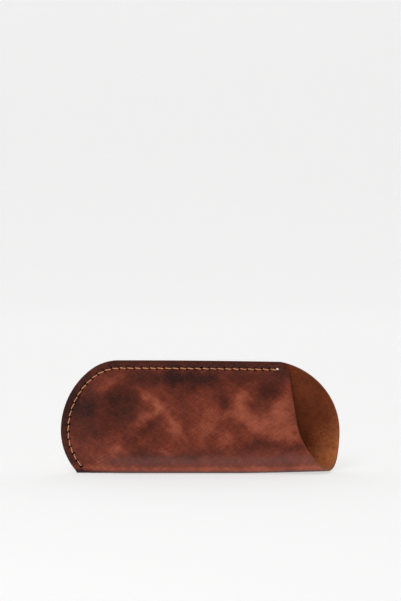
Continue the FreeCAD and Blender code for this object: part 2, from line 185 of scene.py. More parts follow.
# ---- Mesh density ------------------------------------------------------------------------
OUTLINE_STEP = 0.0008
TIP_EDGE_POINTS = 24
ROUNDING_STEPS = 4              # round each arris of a cut edge
GRAIN_SLOT, FLESH_SLOT, EDGE_SLOT = range(3)    # the hide's materials
WIDE_STEP = 0.0016              # between the mesh's points on the open panels
CLOSE_STEP = 0.0006             # between them in the seam and at the pressed fold
RING_CORNERS = 16               # corners of a ring round a hole
DIMPLE_RINGS = (0.00035, 0.0008)    # further rings, beyond the rim
SLOPE_STEP = 0.00001
SEARCH_PLACES = 20001           # places tried where two curves cross
TO_MM = 1000.0

# ---- Painted highlight, shade and sheen, at heights above the underside ----------------------
FOLD_HIGHLIGHT_HEIGHT = 0.0042          # a painted highlight along the fold, standing in for the floor's reflection
FOLD_HIGHLIGHT_REACH = 0.0014
FOLD_HIGHLIGHT_STRENGTH = 0.50
UNDERSIDE_SHADE_HEIGHTS = (0.0013, 0.0028)     # painted shade below the first, none above the second
UNDERSIDE_SHADE_STRENGTH = -1.50
FOLD_SHEEN_HEIGHT = 0.0092           # a painted sheen above the painted highlight
FOLD_SHEEN_REACH = 0.0030
FOLD_SHEEN_FULL_X = -0.045

# ---- Marbling ------------------------------------------------------------------------------
BACK_MARBLING = 0.7             # strength of the marks on the back panel
BACK_TURN = (0.014, 0.076)      # the back's marks are the front's, turned about half of this
SIDES_MEET = 0.006              # front and back marks cross-fade this far from the fold's middle
# How a mark's outline wanders: reach, phase, and radians per metre along x and z.
WANDER_ALONG = [(0.0012, 0.0, 310.0, 520.0), (0.0005, 0.0, 0.0, 1150.0)]
WANDER_UP = [(0.0010, 1.0, 430.0, -290.0), (0.0004, 0.0, 990.0, 0.0)]
# Middle x and z, reach along and across, tilt in degrees, and strength: minus is darker.
PANEL_MARKS = [
    (-0.068, 0.042, 0.0260, 0.0170, 12.0, -0.74),
    (-0.012, 0.063, 0.0500, 0.0065, 0.0, -0.40),
    (-0.058, 0.060, 0.0078, 0.0040, 28.0, 0.90),
    (-0.079, 0.044, 0.0080, 0.0140, -20.0, -0.30),
    (-0.065, 0.037, 0.0070, 0.0060, 0.0, 0.16),
    (-0.051, 0.047, 0.0110, 0.0080, -25.0, -0.42),
    (-0.036, 0.0515, 0.0085, 0.0019, -36.0, 0.75),
    (-0.027, 0.046, 0.0050, 0.0020, -35.0, 0.50),
    (-0.034, 0.038, 0.0150, 0.0024, 33.0, 0.62),
    (-0.028, 0.042, 0.0040, 0.0025, 30.0, 0.45),
    (-0.033, 0.031, 0.0070, 0.0035, 20.0, -0.50),
    (-0.018, 0.033, 0.0100, 0.0040, -62.0, 0.80),
    (-0.022, 0.063, 0.0200, 0.0052, 0.0, -0.62),
    (0.002, 0.060, 0.0140, 0.0050, 0.0, -0.50),
    (-0.006, 0.042, 0.0100, 0.0070, 20.0, 0.14),
    (0.000, 0.030, 0.0110, 0.0060, 30.0, 0.30),
    (-0.076, 0.016, 0.0060, 0.0070, 0.0, 0.05),
    (-0.054, 0.016, 0.0050, 0.0040, 60.0, 0.50),
    (-0.040, 0.013, 0.0130, 0.0022, 0.0, -0.45),
    (-0.022, 0.014, 0.0080, 0.0012, -10.0, 0.60),
    (-0.008, 0.012, 0.0120, 0.0022, 0.0, -0.50),
    (0.009, 0.015, 0.0090, 0.0030, 8.0, -0.50),
    (0.017, 0.023, 0.0060, 0.0050, 20.0, 0.50),
    (0.014, 0.047, 0.0090, 0.0036, -48.0, -0.75),
    (0.026, 0.048, 0.0050, 0.0085, 10.0, 0.72),
    (0.026, 0.038, 0.0170, 0.0052, -21.0, 0.70),
    (0.006, 0.034, 0.0100, 0.0050, 25.0, 0.40),
    (0.030, 0.062, 0.0100, 0.0042, 0.0, -0.55),
    (0.044, 0.054, 0.0085, 0.0070, 30.0, -0.85),
    (0.052, 0.065, 0.0090, 0.0035, 0.0, -0.70),
    (0.052, 0.040, 0.0080, 0.0110, -15.0, 0.78),
    (0.054, 0.026, 0.0090, 0.0060, 0.0, 0.62),
    (0.040, 0.020, 0.0100, 0.0036, 12.0, -0.65),
    (0.058, 0.018, 0.0090, 0.0026, 5.0, -0.60),
    (0.037, 0.031, 0.0070, 0.0040, 20.0, 0.40),
]


# ==== Shape of the folded hide ==============================================================
def clamp(value):
    return np.clip(value, 0.0, 1.0)


def smooth_step(value, start, end):
    share = clamp((value - start) / (end - start))
    return share * share * (3.0 - 2.0 * share)


def bell(value, centre, reach):
    """1 at the centre, falling off smoothly to both sides."""
    return np.exp(-((value - centre) / reach) ** 2)


def ripple(waves, *axes):
    """Sum of sine waves; a wave holds its strength, phase and radians per metre on each axis."""
    return sum(strength * np.sin(phase + sum(rate * axis for rate, axis in zip(rates, axes)))
               for strength, phase, *rates in waves)


def half_depth(x):
    """Outer half depth of the fold at x."""
    opening = np.sin(0.5 * np.pi * clamp((x - OPEN_X) / FOLD_OPEN_LENGTH)) ** FOLD_OPEN_POWER
    flare = clamp(x / FOLD_END_X) ** 2
    opened = FOLD_HALF_DEPTH + (MOUTH_HALF_DEPTH - FOLD_HALF_DEPTH) * flare
    return SEAM_OUTER_Y + (opened - SEAM_OUTER_Y) * opening


def opened_share(x):
    """0 where the fold is pressed flat, 1 where it is fully open."""
    return clamp((half_depth(x) - SEAM_OUTER_Y) / (FOLD_HALF_DEPTH - SEAM_OUTER_Y))


def lift(x):
    """Rise of the underside at x."""
    start = FOLD_END_X - BASE_LIFT_LENGTH
    return BASE_LIFT * clamp((x - start) / BASE_LIFT_LENGTH) ** BASE_LIFT_POWER


def fold_height(x):
    """Height of the fullest point of the section's middle line."""
    ratio = 1.0 + (FOLD_HEIGHT_RATIO - 1.0) * opened_share(x)
    return lift(x) + HALF + (half_depth(x) - HALF) * ratio


def fold_exponent(x):
    return 2.0 + (FOLD_FLATNESS - 2.0) * opened_share(x)


def around_fold(x):
    """Length of leather from the middle of the fold to its fullest point."""
    return 0.25 * np.pi * (half_depth(x) - HALF + fold_height(x) - lift(x) - HALF)


def circle_height(centre, radius, x):
    """Upper crossing of a circle in the XZ plane with the upright line at x."""
    return centre[1] + np.sqrt(radius ** 2 - (x - centre[0]) ** 2)


def seam_start(x):
    """Height at which the panels leave the glued margin."""
    x = np.clip(x, OPEN_X, TIP_X)
    shoulder_x = SHOULDER_CENTRE[0] - (SHOULDER_RADIUS - GLUE_WIDTH) * math.cos(SHOULDER_ANGLE)
    high = circle_height(HIGH_CENTRE, HIGH_RADIUS - GLUE_WIDTH, np.minimum(x, shoulder_x))
    middle_x = np.clip(x, shoulder_x, SHOULDER_CENTRE[0])
    shoulder = circle_height(SHOULDER_CENTRE, SHOULDER_RADIUS - GLUE_WIDTH, middle_x)
    top = circle_height(TOP_CENTRE, TOP_RADIUS - GLUE_WIDTH, x)
    return np.where(x < shoulder_x, high, np.where(x < SHOULDER_CENTRE[0], shoulder, top))


def edge_gap(x, z):
    """Distance of a panel's point from the edge of the round end or of the top."""
    from_low = LOW_RADIUS - np.hypot(x - LOW_CENTRE[0], z - LOW_CENTRE[1])
    from_high = HIGH_RADIUS - np.hypot(x - HIGH_CENTRE[0], z - HIGH_CENTRE[1])
    from_shoulder = SHOULDER_RADIUS - np.hypot(x - SHOULDER_CENTRE[0], z - SHOULDER_CENTRE[1])
    from_top = TOP_RADIUS - np.hypot(x - TOP_CENTRE[0], z - TOP_CENTRE[1])
    from_end = np.where(z < WIDEST_HEIGHT, from_low, from_high)
    over = np.where(z > SHOULDER_CENTRE[1], from_shoulder, from_top)
    return np.where(x < SHOULDER_CENTRE[0], np.minimum(from_end, over), from_top)


def glued(x, z):
    """1 where the two layers are glued together, 0 where they are free."""
    full = GLUE_WIDTH - 0.0012
    none = GLUE_WIDTH - 0.0004
    mouth_fade = 0.003
    in_seam = 1.0 - smooth_step(edge_gap(x, z), full, none)
    return in_seam * (1.0 - smooth_step(x, MOUTH_TOP_X - mouth_fade, MOUTH_TOP_X))


def panel_y(x, z):
    """Middle line of the back panel above the fold; the front panel mirrors it."""
    low = fold_height(x)
    share = clamp((z - low) / (seam_start(x) - low))
    fullest = half_depth(x) - HALF
    return SEAM_MID_Y + (fullest - SEAM_MID_Y) * 0.5 * (1.0 + np.cos(np.pi * share))


def fold_point(x, turn):
    """Middle line of the fold: turn is -1 at the front's fullest point, 1 at the back's."""
    angle = 0.5 * np.pi * turn
    power = 2.0 / fold_exponent(x)
    rise = fold_height(x) - lift(x) - HALF
    y = np.sign(turn) * (half_depth(x) - HALF) * np.abs(np.sin(angle)) ** power
    return y, fold_height(x) - rise * np.abs(np.cos(angle)) ** power


def middle(x, s):
    """Middle surface of the hide over its flat pattern."""
    around = around_fold(x)
    fold_y, fold_z = fold_point(x, np.clip(s / around, -1.0, 1.0))
    z = fold_height(x) + np.maximum(np.abs(s) - around, 0.0)
    bent = np.abs(s) < around
    y = np.where(bent, fold_y, np.sign(s) * panel_y(x, z))
    return np.stack([x, y, np.where(bent, fold_z, z)], axis=-1)


def pattern_s(x, z):
    """Distance from the middle of the fold at which a panel's middle line has height z."""
    around = around_fold(x)
    low = fold_height(x)
    share = clamp((low - z) / (low - lift(x) - HALF))
    angle = np.arccos(share ** (0.5 * fold_exponent(x)))
    return np.where(z >= low, around + z - low, around * angle / (0.5 * np.pi))


def outward_direction(x, s):
    """Direction square to the middle surface, out of the grain side."""
    along = middle(x + SLOPE_STEP, s) - middle(x - SLOPE_STEP, s)
    around = middle(x, s + SLOPE_STEP) - middle(x, s - SLOPE_STEP)
    direction = np.cross(around, along)
    return direction / np.linalg.norm(direction, axis=-1, keepdims=True)


def slack(x, s):
    """Slow unevenness of the panels, none at the seam, the fold or the base."""
    z = middle(x, s)[..., 2]
    free = smooth_step(z, *FREE_OF_FOLD) * (1.0 - smooth_step(z, *HELD_BY_SEAM))
    free = free * smooth_step(x - LEFT_X, *FREE_OF_END)
    return free * ripple(PANEL_WAVES, x, z, s)


def hide_points(pattern, offset, waviness):
    """Places points of the flat pattern on the folded hide, offset from its middle."""
    x, s = pattern[:, 0], pattern[:, 1]
    out = outward_direction(x, s)
    shift = offset + waviness * slack(x, s)
    points = middle(x, s) + out * shift[:, None]
    points[:, 2] = np.maximum(points[:, 2] - WORN_BASE, 0.0)
    return points


# ==== Outline of the cut ====================================================================
def arc(centre, radius, start, end):
    """Points on a circle in the XZ plane, the angle from +X towards +Z, without the last."""
    count = max(2, int(math.ceil(abs(end - start) * radius / OUTLINE_STEP)))
    angles = np.linspace(start, end, count, endpoint=False)
    return np.stack([centre[0] + radius * np.cos(angles),
                     centre[1] + radius * np.sin(angles)], axis=-1)


def run(start, end):
    """Evenly spaced points on a straight line, without the last."""
    count = max(2, int(math.ceil(math.dist(start, end) / OUTLINE_STEP)))
    share = np.linspace(0.0, 1.0, count, endpoint=False)[:, None]
    return np.array(start) * (1.0 - share) + np.array(end) * share


def seam_side(inset, start_height, end_x):
    """Round end, shoulder and top edge, inset from the leather's edge."""
    radius = LOW_RADIUS - inset
    start = math.pi + math.asin((WIDEST_HEIGHT - start_height) / radius)
    shoulder_end = math.pi - SHOULDER_ANGLE
    top_radius = TOP_RADIUS - inset
    end = math.acos((end_x - TOP_CENTRE[0]) / top_radius)
    return np.concatenate([
        arc(LOW_CENTRE, radius, start, math.pi),
        arc(HIGH_CENTRE, HIGH_RADIUS - inset, math.pi, shoulder_end),
        arc(SHOULDER_CENTRE, SHOULDER_RADIUS - inset, shoulder_end, 0.5 * math.pi),
        arc(TOP_CENTRE, top_radius, 0.5 * math.pi, end),
        [[end_x, TOP_CENTRE[1] + top_radius * math.sin(end)]],
    ])


def mouth_corner():
    """Centre of the arc that rounds the front panel's top corner, and its two ends."""
    side = (-math.cos(MOUTH_LEAN), -math.sin(MOUTH_LEAN))
    start = (MOUTH_TOP_X + MOUTH_CORNER * side[0], MOUTH_TOP_Z + MOUTH_CORNER * side[1])
    from_top = (start[0] - TOP_CENTRE[0], start[1] - TOP_CENTRE[1])
    reach = TOP_RADIUS - MOUTH_CORNER
    lean = from_top[0] * MOUTH_DOWN[0] + from_top[1] * MOUTH_DOWN[1]
    spare = from_top[0] ** 2 + from_top[1] ** 2 - reach ** 2
    along = -lean - math.sqrt(lean ** 2 - spare)
    centre = (start[0] + along * MOUTH_DOWN[0], start[1] + along * MOUTH_DOWN[1])
    if centre[1] < 0.5 * SEAM_HEIGHT:
        raise RuntimeError("the mouth's corner was found on the wrong side of the top edge")
    top_angle = math.atan2(centre[1] - TOP_CENTRE[1], centre[0] - TOP_CENTRE[0])
    return centre, top_angle


def mouth_x(z):
    return MOUTH_CENTRE[0] - np.sqrt(MOUTH_ARC ** 2 - (MOUTH_CENTRE[1] - z) ** 2)


def tip_edge_x(z):
    """Edge of the tongue below its tip, a quarter of an ellipse down to the fold's end."""
    share = (TONGUE_TIP_HEIGHT - z) / (TONGUE_TIP_HEIGHT - BASE_LIFT)
    return FOLD_END_X + FOLD_END_INSET * np.sqrt(1.0 - clamp(share) ** 2)


def hermite(share, start, end, start_slope, end_slope):
    """Cubic between two values with the given slopes per unit of share."""
    square = share * share
    cube = square * share
    return ((2.0 * cube - 3.0 * square + 1.0) * start + (cube - 2.0 * square + share)
            * start_slope + (3.0 * square - 2.0 * cube) * end + (cube - square) * end_slope)


def fold_edge():
    """Mouth edge round the fold, from the front's fullest point to the back's, as x and turn."""
    front_z = fold_height(mouth_x(fold_height(FOLD_END_X)))
    back_z = fold_height(TIP_X)
    front_slope = (MOUTH_CENTRE[1] - front_z) / (MOUTH_CENTRE[0] - mouth_x(front_z))
    back_slope = (tip_edge_x(back_z + SLOPE_STEP) - tip_edge_x(back_z)) / SLOPE_STEP
    quarter = 0.5 * math.pi * MOUTH_HALF_DEPTH
    share = np.linspace(0.0, 1.0, int(quarter / OUTLINE_STEP), endpoint=False)
    front = hermite(share, mouth_x(front_z), FOLD_END_X, front_slope * quarter,
                    FOLD_EDGE_SLOPE * quarter)
    back = hermite(share, FOLD_END_X, tip_edge_x(back_z), FOLD_EDGE_SLOPE * quarter,
                   back_slope * quarter)
    return np.concatenate([front, back]), np.concatenate([share - 1.0, share])


def seam_end_x():
    """Where the top edge runs into the arc of the tongue."""
    places = np.linspace(TONGUE_CENTRE[0], TIP_X, SEARCH_PLACES)
    arc_height = circle_height(TONGUE_CENTRE, TONGUE_RADIUS, places)
    return float(places[np.argmax(arc_height < circle_height(TOP_CENTRE, TOP_RADIUS, places))])


def on_panel(points, side):
    """Points of a panel's outline, moved from the XZ plane to the flat pattern."""
    return np.stack([points[:, 0], side * pattern_s(points[:, 0], points[:, 1])], axis=-1)


def cut_outline():
    """Closed outline of the flat cut, evenly spaced, anticlockwise in x and s."""
    corner, top_angle = mouth_corner()
    top_end = corner[0] + MOUTH_CORNER * math.cos(top_angle)
    front = np.concatenate([
        seam_side(0.0, HALF, top_end)[:-1],
        arc(corner, MOUTH_CORNER, top_angle, MOUTH_LEAN),
        run((corner[0] + MOUTH_CORNER * math.cos(MOUTH_LEAN),
             corner[1] + MOUTH_CORNER * math.sin(MOUTH_LEAN)),
            (MOUTH_TURN_X, MOUTH_STRAIGHT_END)),
    ])
    front_z = float(fold_height(mouth_x(fold_height(FOLD_END_X))))
    arc_end = math.pi + math.asin((MOUTH_CENTRE[1] - front_z) / MOUTH_ARC)
    front = np.concatenate([front, arc(MOUTH_CENTRE, MOUTH_ARC, math.pi + MOUTH_LEAN, arc_end)])
    edge_x, edge_turn = fold_edge()
    fold = np.stack([edge_x, edge_turn * around_fold(edge_x)], axis=-1)
    heights = np.linspace(float(fold_height(TIP_X)), TONGUE_TIP_HEIGHT, TIP_EDGE_POINTS,
                          endpoint=False)
    end_x = seam_end_x()
    end_angle = math.acos((end_x - TONGUE_CENTRE[0]) / TONGUE_RADIUS)
    back = np.concatenate([
        np.stack([tip_edge_x(heights), heights], axis=-1),
        arc(TONGUE_CENTRE, TONGUE_RADIUS, 0.0, end_angle),
        seam_side(0.0, HALF, end_x)[::-1],
    ])
    loop = np.concatenate([on_panel(front, -1.0), fold, on_panel(back, 1.0)[:-1]])
    lengths = np.linalg.norm(np.roll(loop, -1, axis=0) - loop, axis=1)
    along = np.concatenate([[0.0], np.cumsum(lengths)])
    closed = np.concatenate([loop, loop[:1]])
    even = np.linspace(0.0, along[-1], int(along[-1] / OUTLINE_STEP), endpoint=False)
    return np.stack([np.interp(even, along, closed[:, i]) for i in range(2)], axis=-1)


def outline_directions(loop):
    """Direction out of an anticlockwise loop at each of its points."""
    along = np.roll(loop, -1, axis=0) - np.roll(loop, 1, axis=0)
    out = np.stack([along[:, 1], -along[:, 0]], axis=-1)
    return out / np.linalg.norm(out, axis=1, keepdims=True)


# ==== Stitch line ===========================================================================
def stitch_holes():
    """Centre, direction of travel and outward direction of each hole, in the XZ plane."""
    line = seam_side(SEAM_MARGIN, FIRST_HOLE_HEIGHT, MOUTH_TOP_X - LAST_HOLE_TO_MOUTH)
    along = np.concatenate([[0.0], np.cumsum(np.linalg.norm(np.diff(line, axis=0), axis=1))])
    count = int(round(along[-1] / STITCH_PITCH)) + 1
    places = np.linspace(0.0, along[-1], count)
    centres = np.stack([np.interp(places, along, line[:, i]) for i in range(2)], axis=-1)
    travel = np.gradient(centres, axis=0)
    travel /= np.linalg.norm(travel, axis=1, keepdims=True)
    outward = np.stack([-travel[:, 1], travel[:, 0]], axis=-1)
    return centres, travel, outward


def stitch_dent(x, z, holes, dimple, groove):
    """How far the thread has pulled the grain side in: a dimple at each hole, and a groove."""
    spots = np.stack([x, z], axis=-1)
    depth = np.zeros(len(x))
    for start, end in zip(holes[:-1], holes[1:]):
        line = end - start
        share = clamp((spots - start) @ line / (line @ line))
        gap = np.linalg.norm(spots - start - share[:, None] * line, axis=1)
        depth = np.maximum(depth, groove * bell(gap, 0.0, GROOVE_REACH))
    for hole in holes:
        gap = np.linalg.norm(spots - hole, axis=1)
        depth = np.maximum(depth, dimple * bell(gap, 0.0, DIMPLE_REACH))
    return depth


# ==== Mesh of the hide ======================================================================
def inside(points, loop):
    """Which points lie within a closed loop."""
    x, y = points[:, 0][:, None], points[:, 1][:, None]
    ends = np.roll(loop, -1, axis=0)
    crossed = np.zeros(len(points), bool)
    batch = 100
    for first in range(0, len(loop), batch):
        a, b = loop[first:first + batch], ends[first:first + batch]
        spans = (a[:, 1] > y) != (b[:, 1] > y)
        rise = np.where(b[:, 1] == a[:, 1], 1.0, b[:, 1] - a[:, 1])
        level = a[:, 0] + (y - a[:, 1]) / rise * (b[:, 0] - a[:, 0])
        crossed ^= (np.count_nonzero(spans & (x < level), axis=1) % 2).astype(bool)
    return crossed


def tree_of(points):
    tree = KDTree(len(points))
    for i, point in enumerate(points):
        tree.insert((point[0], point[1], 0.0), i)
    tree.balance()
    return tree


def gaps_to(points, tree):
    return np.array([tree.find((x, y, 0.0))[2] for x, y in points])


def hex_points(loop, step):
    """A triangular grid of points over a loop."""
    low, high = loop.min(axis=0), loop.max(axis=0)
    rows = np.arange(low[1], high[1], step * math.sqrt(0.75))
    columns = np.arange(low[0], high[0], step)
    x, y = np.meshgrid(columns, rows)
    x = x + np.where(np.arange(len(rows)) % 2, 0.5 * step, 0.0)[:, None]
    return np.stack([x.ravel(), y.ravel()], axis=-1)


def ring(centre, radius, count, side):
    """A circle round a stitch hole, moved to the flat pattern."""
    angles = np.linspace(0.0, 2.0 * np.pi, count, endpoint=False)
    circle = np.stack([centre[0] + radius * np.cos(angles),
                       centre[1] + radius * np.sin(angles)], axis=-1)
    return on_panel(circle, side)


def close_region(points):
    """Which pattern points need the close spacing: the seam, and the fold where it is tight."""
    x, s = points[:, 0], points[:, 1]
    beyond_glue = 0.0008
    beyond_fold = 0.001
    tight_length = 0.4 * FOLD_OPEN_LENGTH
    gap = edge_gap(x, middle(x, s)[:, 2])
    in_seam = (gap < GLUE_WIDTH + beyond_glue) & (x < MOUTH_TOP_X)
    tight = (x < OPEN_X + tight_length) & (np.abs(s) < around_fold(x) + beyond_fold)
    return in_seam | tight


def pattern_mesh(loop, holes):
    """Triangles over the flat cut: points, faces, the loop's corners and the holes' rings."""
    skirt = HOLE_RADIUS + HOLE_SKIRT
    clear_of_edges = 0.55 * CLOSE_STEP
    clear_of_holes = skirt + 0.0011
    rings = [ring(hole, skirt, RING_CORNERS, side) for side in (-1.0, 1.0) for hole in holes]
    dimples = [ring(hole, skirt + reach, RING_CORNERS, side) for side in (-1.0, 1.0)
               for hole in holes for reach in DIMPLE_RINGS]
    hole_middles = np.concatenate([ring(hole, 0.0, 1, side) for side in (-1.0, 1.0)
                                   for hole in holes])
    fixed = np.concatenate([loop] + rings + dimples)
    fixed_tree = tree_of(fixed)
    hole_tree = tree_of(hole_middles)
    inner = []
    for step, close in ((WIDE_STEP, False), (CLOSE_STEP, True)):
        grid = hex_points(loop, step)
        grid = grid[inside(grid, loop)]
        grid = grid[close_region(grid) == close]
        grid = grid[gaps_to(grid, fixed_tree) > clear_of_edges]
        inner.append(grid[gaps_to(grid, hole_tree) > clear_of_holes])
    points = np.concatenate([fixed] + inner)
    edges = [(i, (i + 1) % len(loop)) for i in range(len(loop))]
    first = len(loop)
    for circle in rings:
        count = len(circle)
        edges += [(first + i, first + (i + 1) % count) for i in range(count)]
        first += count
    made = delaunay_2d_cdt([Vector(p) * TO_MM for p in points], edges, [], 1, 1e-6)
    mesh_points = np.array([tuple(v) for v in made[0]]) / TO_MM
    new_index = {}
    for i, sources in enumerate(made[3]):
        for source in sources:
            new_index[source] = i
    faces = np.array([f for f in made[2] if len(f) == 3])
    loop_index = [new_index[i] for i in range(len(loop))]
    ring_index = [[new_index[len(loop) + k * RING_CORNERS + i] for i in range(RING_CORNERS)]
                  for k in range(len(rings))]
    hole_of = np.full(len(mesh_points), -1)
    for k, corners in enumerate(ring_index):
        hole_of[corners] = k
    owners = hole_of[faces]
    across_hole = (owners[:, 0] >= 0) & (owners == owners[:, :1]).all(axis=1)
    faces = faces[~across_hole]
    faces = faces[inside(mesh_points[faces].mean(axis=1), loop)]
    return mesh_points, faces, loop_index, ring_index


def wall_profile(rounding, bulge):
    """Outset and offset down a rounded cut edge, from the grain side to the flesh side."""
    angles = np.linspace(0.0, 0.5 * np.pi, ROUNDING_STEPS + 1)[1:]
    top = [(rounding * math.sin(a), HALF - rounding * (1.0 - math.cos(a))) for a in angles]
    low = [(outset, -offset) for outset, offset in reversed(top)]
    return top + [(rounding + bulge, 0.0)] + low


def hole_profiles(neck_radius):
    """Inset and offset down the wall of a hole: one that the strands fill, and the open last."""
    rim = [(0.5 * HOLE_SKIRT, HALF - 0.00010), (0.9 * HOLE_SKIRT, HALF - 0.00030),
           (HOLE_SKIRT, HALF - 0.00060)]
    foot = -HALF + 0.0001
    neck = HOLE_SKIRT + HOLE_RADIUS - neck_radius
    filled = rim + [(neck, -HALF + 0.0006), (neck, foot)]
    return filled, rim + [(HOLE_SKIRT, foot)]


def build_hide(settings):
    """The whole cut of leather as one closed mesh, and the cut's flat size and area."""
    outline = cut_outline()
    rounding = settings.edge_rounding
    loop = outline - outline_directions(outline) * rounding
    holes, _, _ = stitch_holes()
    pattern, faces, loop_index, ring_index = pattern_mesh(loop, holes)
    count = len(pattern)
    flat_z = middle(pattern[:, 0], pattern[:, 1])[:, 2]
    dent = stitch_dent(pattern[:, 0], flat_z, holes, settings.dimple_depth,
                       settings.groove_depth)
    pressed = FILM_PLAY * glued(pattern[:, 0], flat_z)
    wave = settings.waviness
    points = [hide_points(pattern, HALF - dent, wave),
              hide_points(pattern, -HALF - pressed, wave)]
    spots = [pattern, pattern]
    grain = faces[:, ::-1]
    flesh = faces + count
    face_lists = [grain.tolist(), flesh.tolist()]
    slots = [np.full(len(grain), GRAIN_SLOT), np.full(len(flesh), FLESH_SLOT)]
    total = 2 * count

    def add_wall(corners, out, profile, grain_rings):
        nonlocal total
        base = pattern[corners]
        size = len(corners)
        previous = np.array(corners)
        for depth, (outset, offset) in enumerate(profile):
            spread = base + out * outset
            share = clamp((offset + HALF) / SHEET)
            shift = offset - dent[corners] * share - pressed[corners] * (1.0 - share)
            points.append(hide_points(spread, shift, wave))
            spots.append(spread)
            here = total + np.arange(size)
            join_rings(previous, here, GRAIN_SLOT if depth < grain_rings else EDGE_SLOT)
            previous = here
            total += size
        join_rings(previous, np.array(corners) + count, EDGE_SLOT)

    def join_rings(upper, lower, slot):
        after = np.roll(np.arange(len(upper)), -1)
        quads = np.stack([upper, lower, lower[after], upper[after]], axis=-1)[:, ::-1]
        face_lists.append(quads.tolist())
        slots.append(np.full(len(quads), slot))

    add_wall(loop_index, outline_directions(loop), wall_profile(rounding, settings.edge_bulge),
             grain_rings=1)
    filled_hole, open_hole = hole_profiles(settings.hole_neck)
    for k, corners in enumerate(ring_index):
        is_last = k % len(holes) == len(holes) - 1
        inward_loop = corners[::-1]
        centre = pattern[inward_loop].mean(axis=0)
        inward = centre - pattern[inward_loop]
        inward /= np.linalg.norm(inward, axis=1, keepdims=True)
        add_wall(inward_loop, inward, open_hole if is_last else filled_hole, grain_rings=2)
    spots = np.concatenate(spots)
    mesh = bpy.data.meshes.new("leather_hide")
    mesh.from_pydata(np.concatenate(points).tolist(), [], sum(face_lists, []))
    mesh.polygons.foreach_set("material_index", np.concatenate(slots).astype(np.int32))
    mesh.polygons.foreach_set("use_smooth", np.ones(len(mesh.polygons), bool))
    if mesh.validate():
        raise RuntimeError("the hide's mesh had to be mended")
    add_pattern_map(mesh, spots)
    add_tones(mesh, spots)
    width = float(np.ptp(outline[:, 1]))
    across, up = outline[:, 0], outline[:, 1]
    area = 0.5 * float(across @ np.roll(up, -1) - up @ np.roll(across, -1))
    return mesh, (TIP_X - LEFT_X, width), area


def add_pattern_map(mesh, spots):
    """UV map that lays the flat pattern out in metres."""
    layer = mesh.uv_layers.new(name="pattern")
    corners = np.zeros(len(mesh.loops), np.int32)
    mesh.loops.foreach_get("vertex_index", corners)
    layer.uv.foreach_set("vector", spots[corners].astype(np.float32).ravel())


def marbling_at(x, z):
    """Sum of the soft marks at a panel's points, each mark's outline a little uneven."""
    wander_x = x + ripple(WANDER_ALONG, x, z)
    wander_z = z + ripple(WANDER_UP, x, z)
    marks = np.zeros(len(x))
    for mark_x, mark_z, reach, across, tilt, strength in PANEL_MARKS:
        turn = math.radians(tilt)
        along = (wander_x - mark_x) * math.cos(turn) + (wander_z - mark_z) * math.sin(turn)
        aside = (wander_z - mark_z) * math.cos(turn) - (wander_x - mark_x) * math.sin(turn)
        marks += strength * bell(along, 0.0, reach) * bell(aside, 0.0, across)
    return marks


def add_tones(mesh, spots):
    """Marbling, seam margin, mouth edge, and painted highlight, shade, sheen and light, as
    numbers at points.
    """
    x, s = spots[:, 0], spots[:, 1]
    z = middle(x, s)[:, 2]
    from_mouth = x - MOUTH_TOP_X
    back_marks = BACK_MARBLING * marbling_at(BACK_TURN[0] - x, BACK_TURN[1] - z)
    front = 1.0 - smooth_step(s, -SIDES_MEET, SIDES_MEET)
    above_base = z - lift(x)
    # Painted highlight: a lighter line along the fold, standing in for the floor's reflection on
    # it.
    fold_highlight = bell(above_base, FOLD_HIGHLIGHT_HEIGHT, FOLD_HIGHLIGHT_REACH)
    # Painted shade along the underside of the fold, following it where it lifts.
    underside_shade = 1.0 - smooth_step(above_base, *UNDERSIDE_SHADE_HEIGHTS)
    # The marbling, with the painted highlight along the fold and the painted shade under it
    # added next.
    marks = marbling_at(x, z) * front + back_marks * (1.0 - front)
    marks += FOLD_HIGHLIGHT_STRENGTH * fold_highlight + UNDERSIDE_SHADE_STRENGTH * underside_shade
    # Painted sheen: a pale veil above the painted highlight, standing in for the floor's
    # reflection on the fold.
    fold_sheen = bell(above_base, FOLD_SHEEN_HEIGHT, FOLD_SHEEN_REACH) * smooth_step(x, OPEN_X, FOLD_SHEEN_FULL_X)
    margin_fade = 0.0012
    outside = 1.0 - smooth_step(edge_gap(x, z), SEAM_MARGIN - margin_fade, SEAM_MARGIN)
    margin = outside * (1.0 - smooth_step(from_mouth, -0.002, 0.006))
    holes, _, _ = stitch_holes()
    spots_xz = np.stack([x, z], axis=-1)
    to_hole = np.min([np.linalg.norm(spots_xz - hole, axis=1) for hole in holes], axis=0)
    # Painted shade down inside each stitch hole.
    hole_shade = 1.0 - smooth_step(to_hole - HOLE_RADIUS, 0.00005, 0.00035)
    raw = smooth_step(from_mouth, -0.004, 0.010)
    # Painted light: the flesh side brightens and warms towards the tongue's low tip, where light
    # falls on it.
    towards_low_tip = x - 0.8 * z
    painted_tip_light = smooth_step(towards_low_tip, 0.046, 0.086)
    for name, values in (("marbling_and_painted_light", marks), ("margin", margin), ("raw", raw),
                         ("painted_tip_light", painted_tip_light), ("hole_shade", hole_shade), ("fold_sheen", fold_sheen)):
        layer = mesh.attributes.new(name, "FLOAT", "POINT")
        layer.data.foreach_set("value", values.astype(np.float32))


# ==== Thread ================================================================================
def strand_corners(first_side):
    """Corners of one needle's route; first_side is -1 when it starts on the front."""
    centres, travels, outwards = stitch_holes()
    surface = SEAM_OUTER_Y + 0.5 * THREAD - STRAND_SUNK

    def place(i, ahead, lean, y):
        x, z = centres[i] + travels[i] * ahead + outwards[i] * lean
        return np.array([x, y, z - WORN_BASE])

    side = first_side
    corners = [place(0, STRAND_AHEAD, 0.0, 0.0), place(0, STRAND_AHEAD, 0.0, side * surface)]
    last = len(centres) - 1
    for i in range(1, last + 1):
        corners.append(place(i, -STRAND_AHEAD, STRAND_LEAN * side, side * surface))
        if i < last:
            corners.append(place(i, 0.0, STRAND_ASIDE * side, 0.0))
            corners.append(place(i, STRAND_AHEAD, STRAND_LEAN * side, -side * surface))
            side = -side
    if side < 0.0:
        corners.append(place(last, 0.0, 2.0 * STRAND_ASIDE * side, surface + BEAD))
    return corners


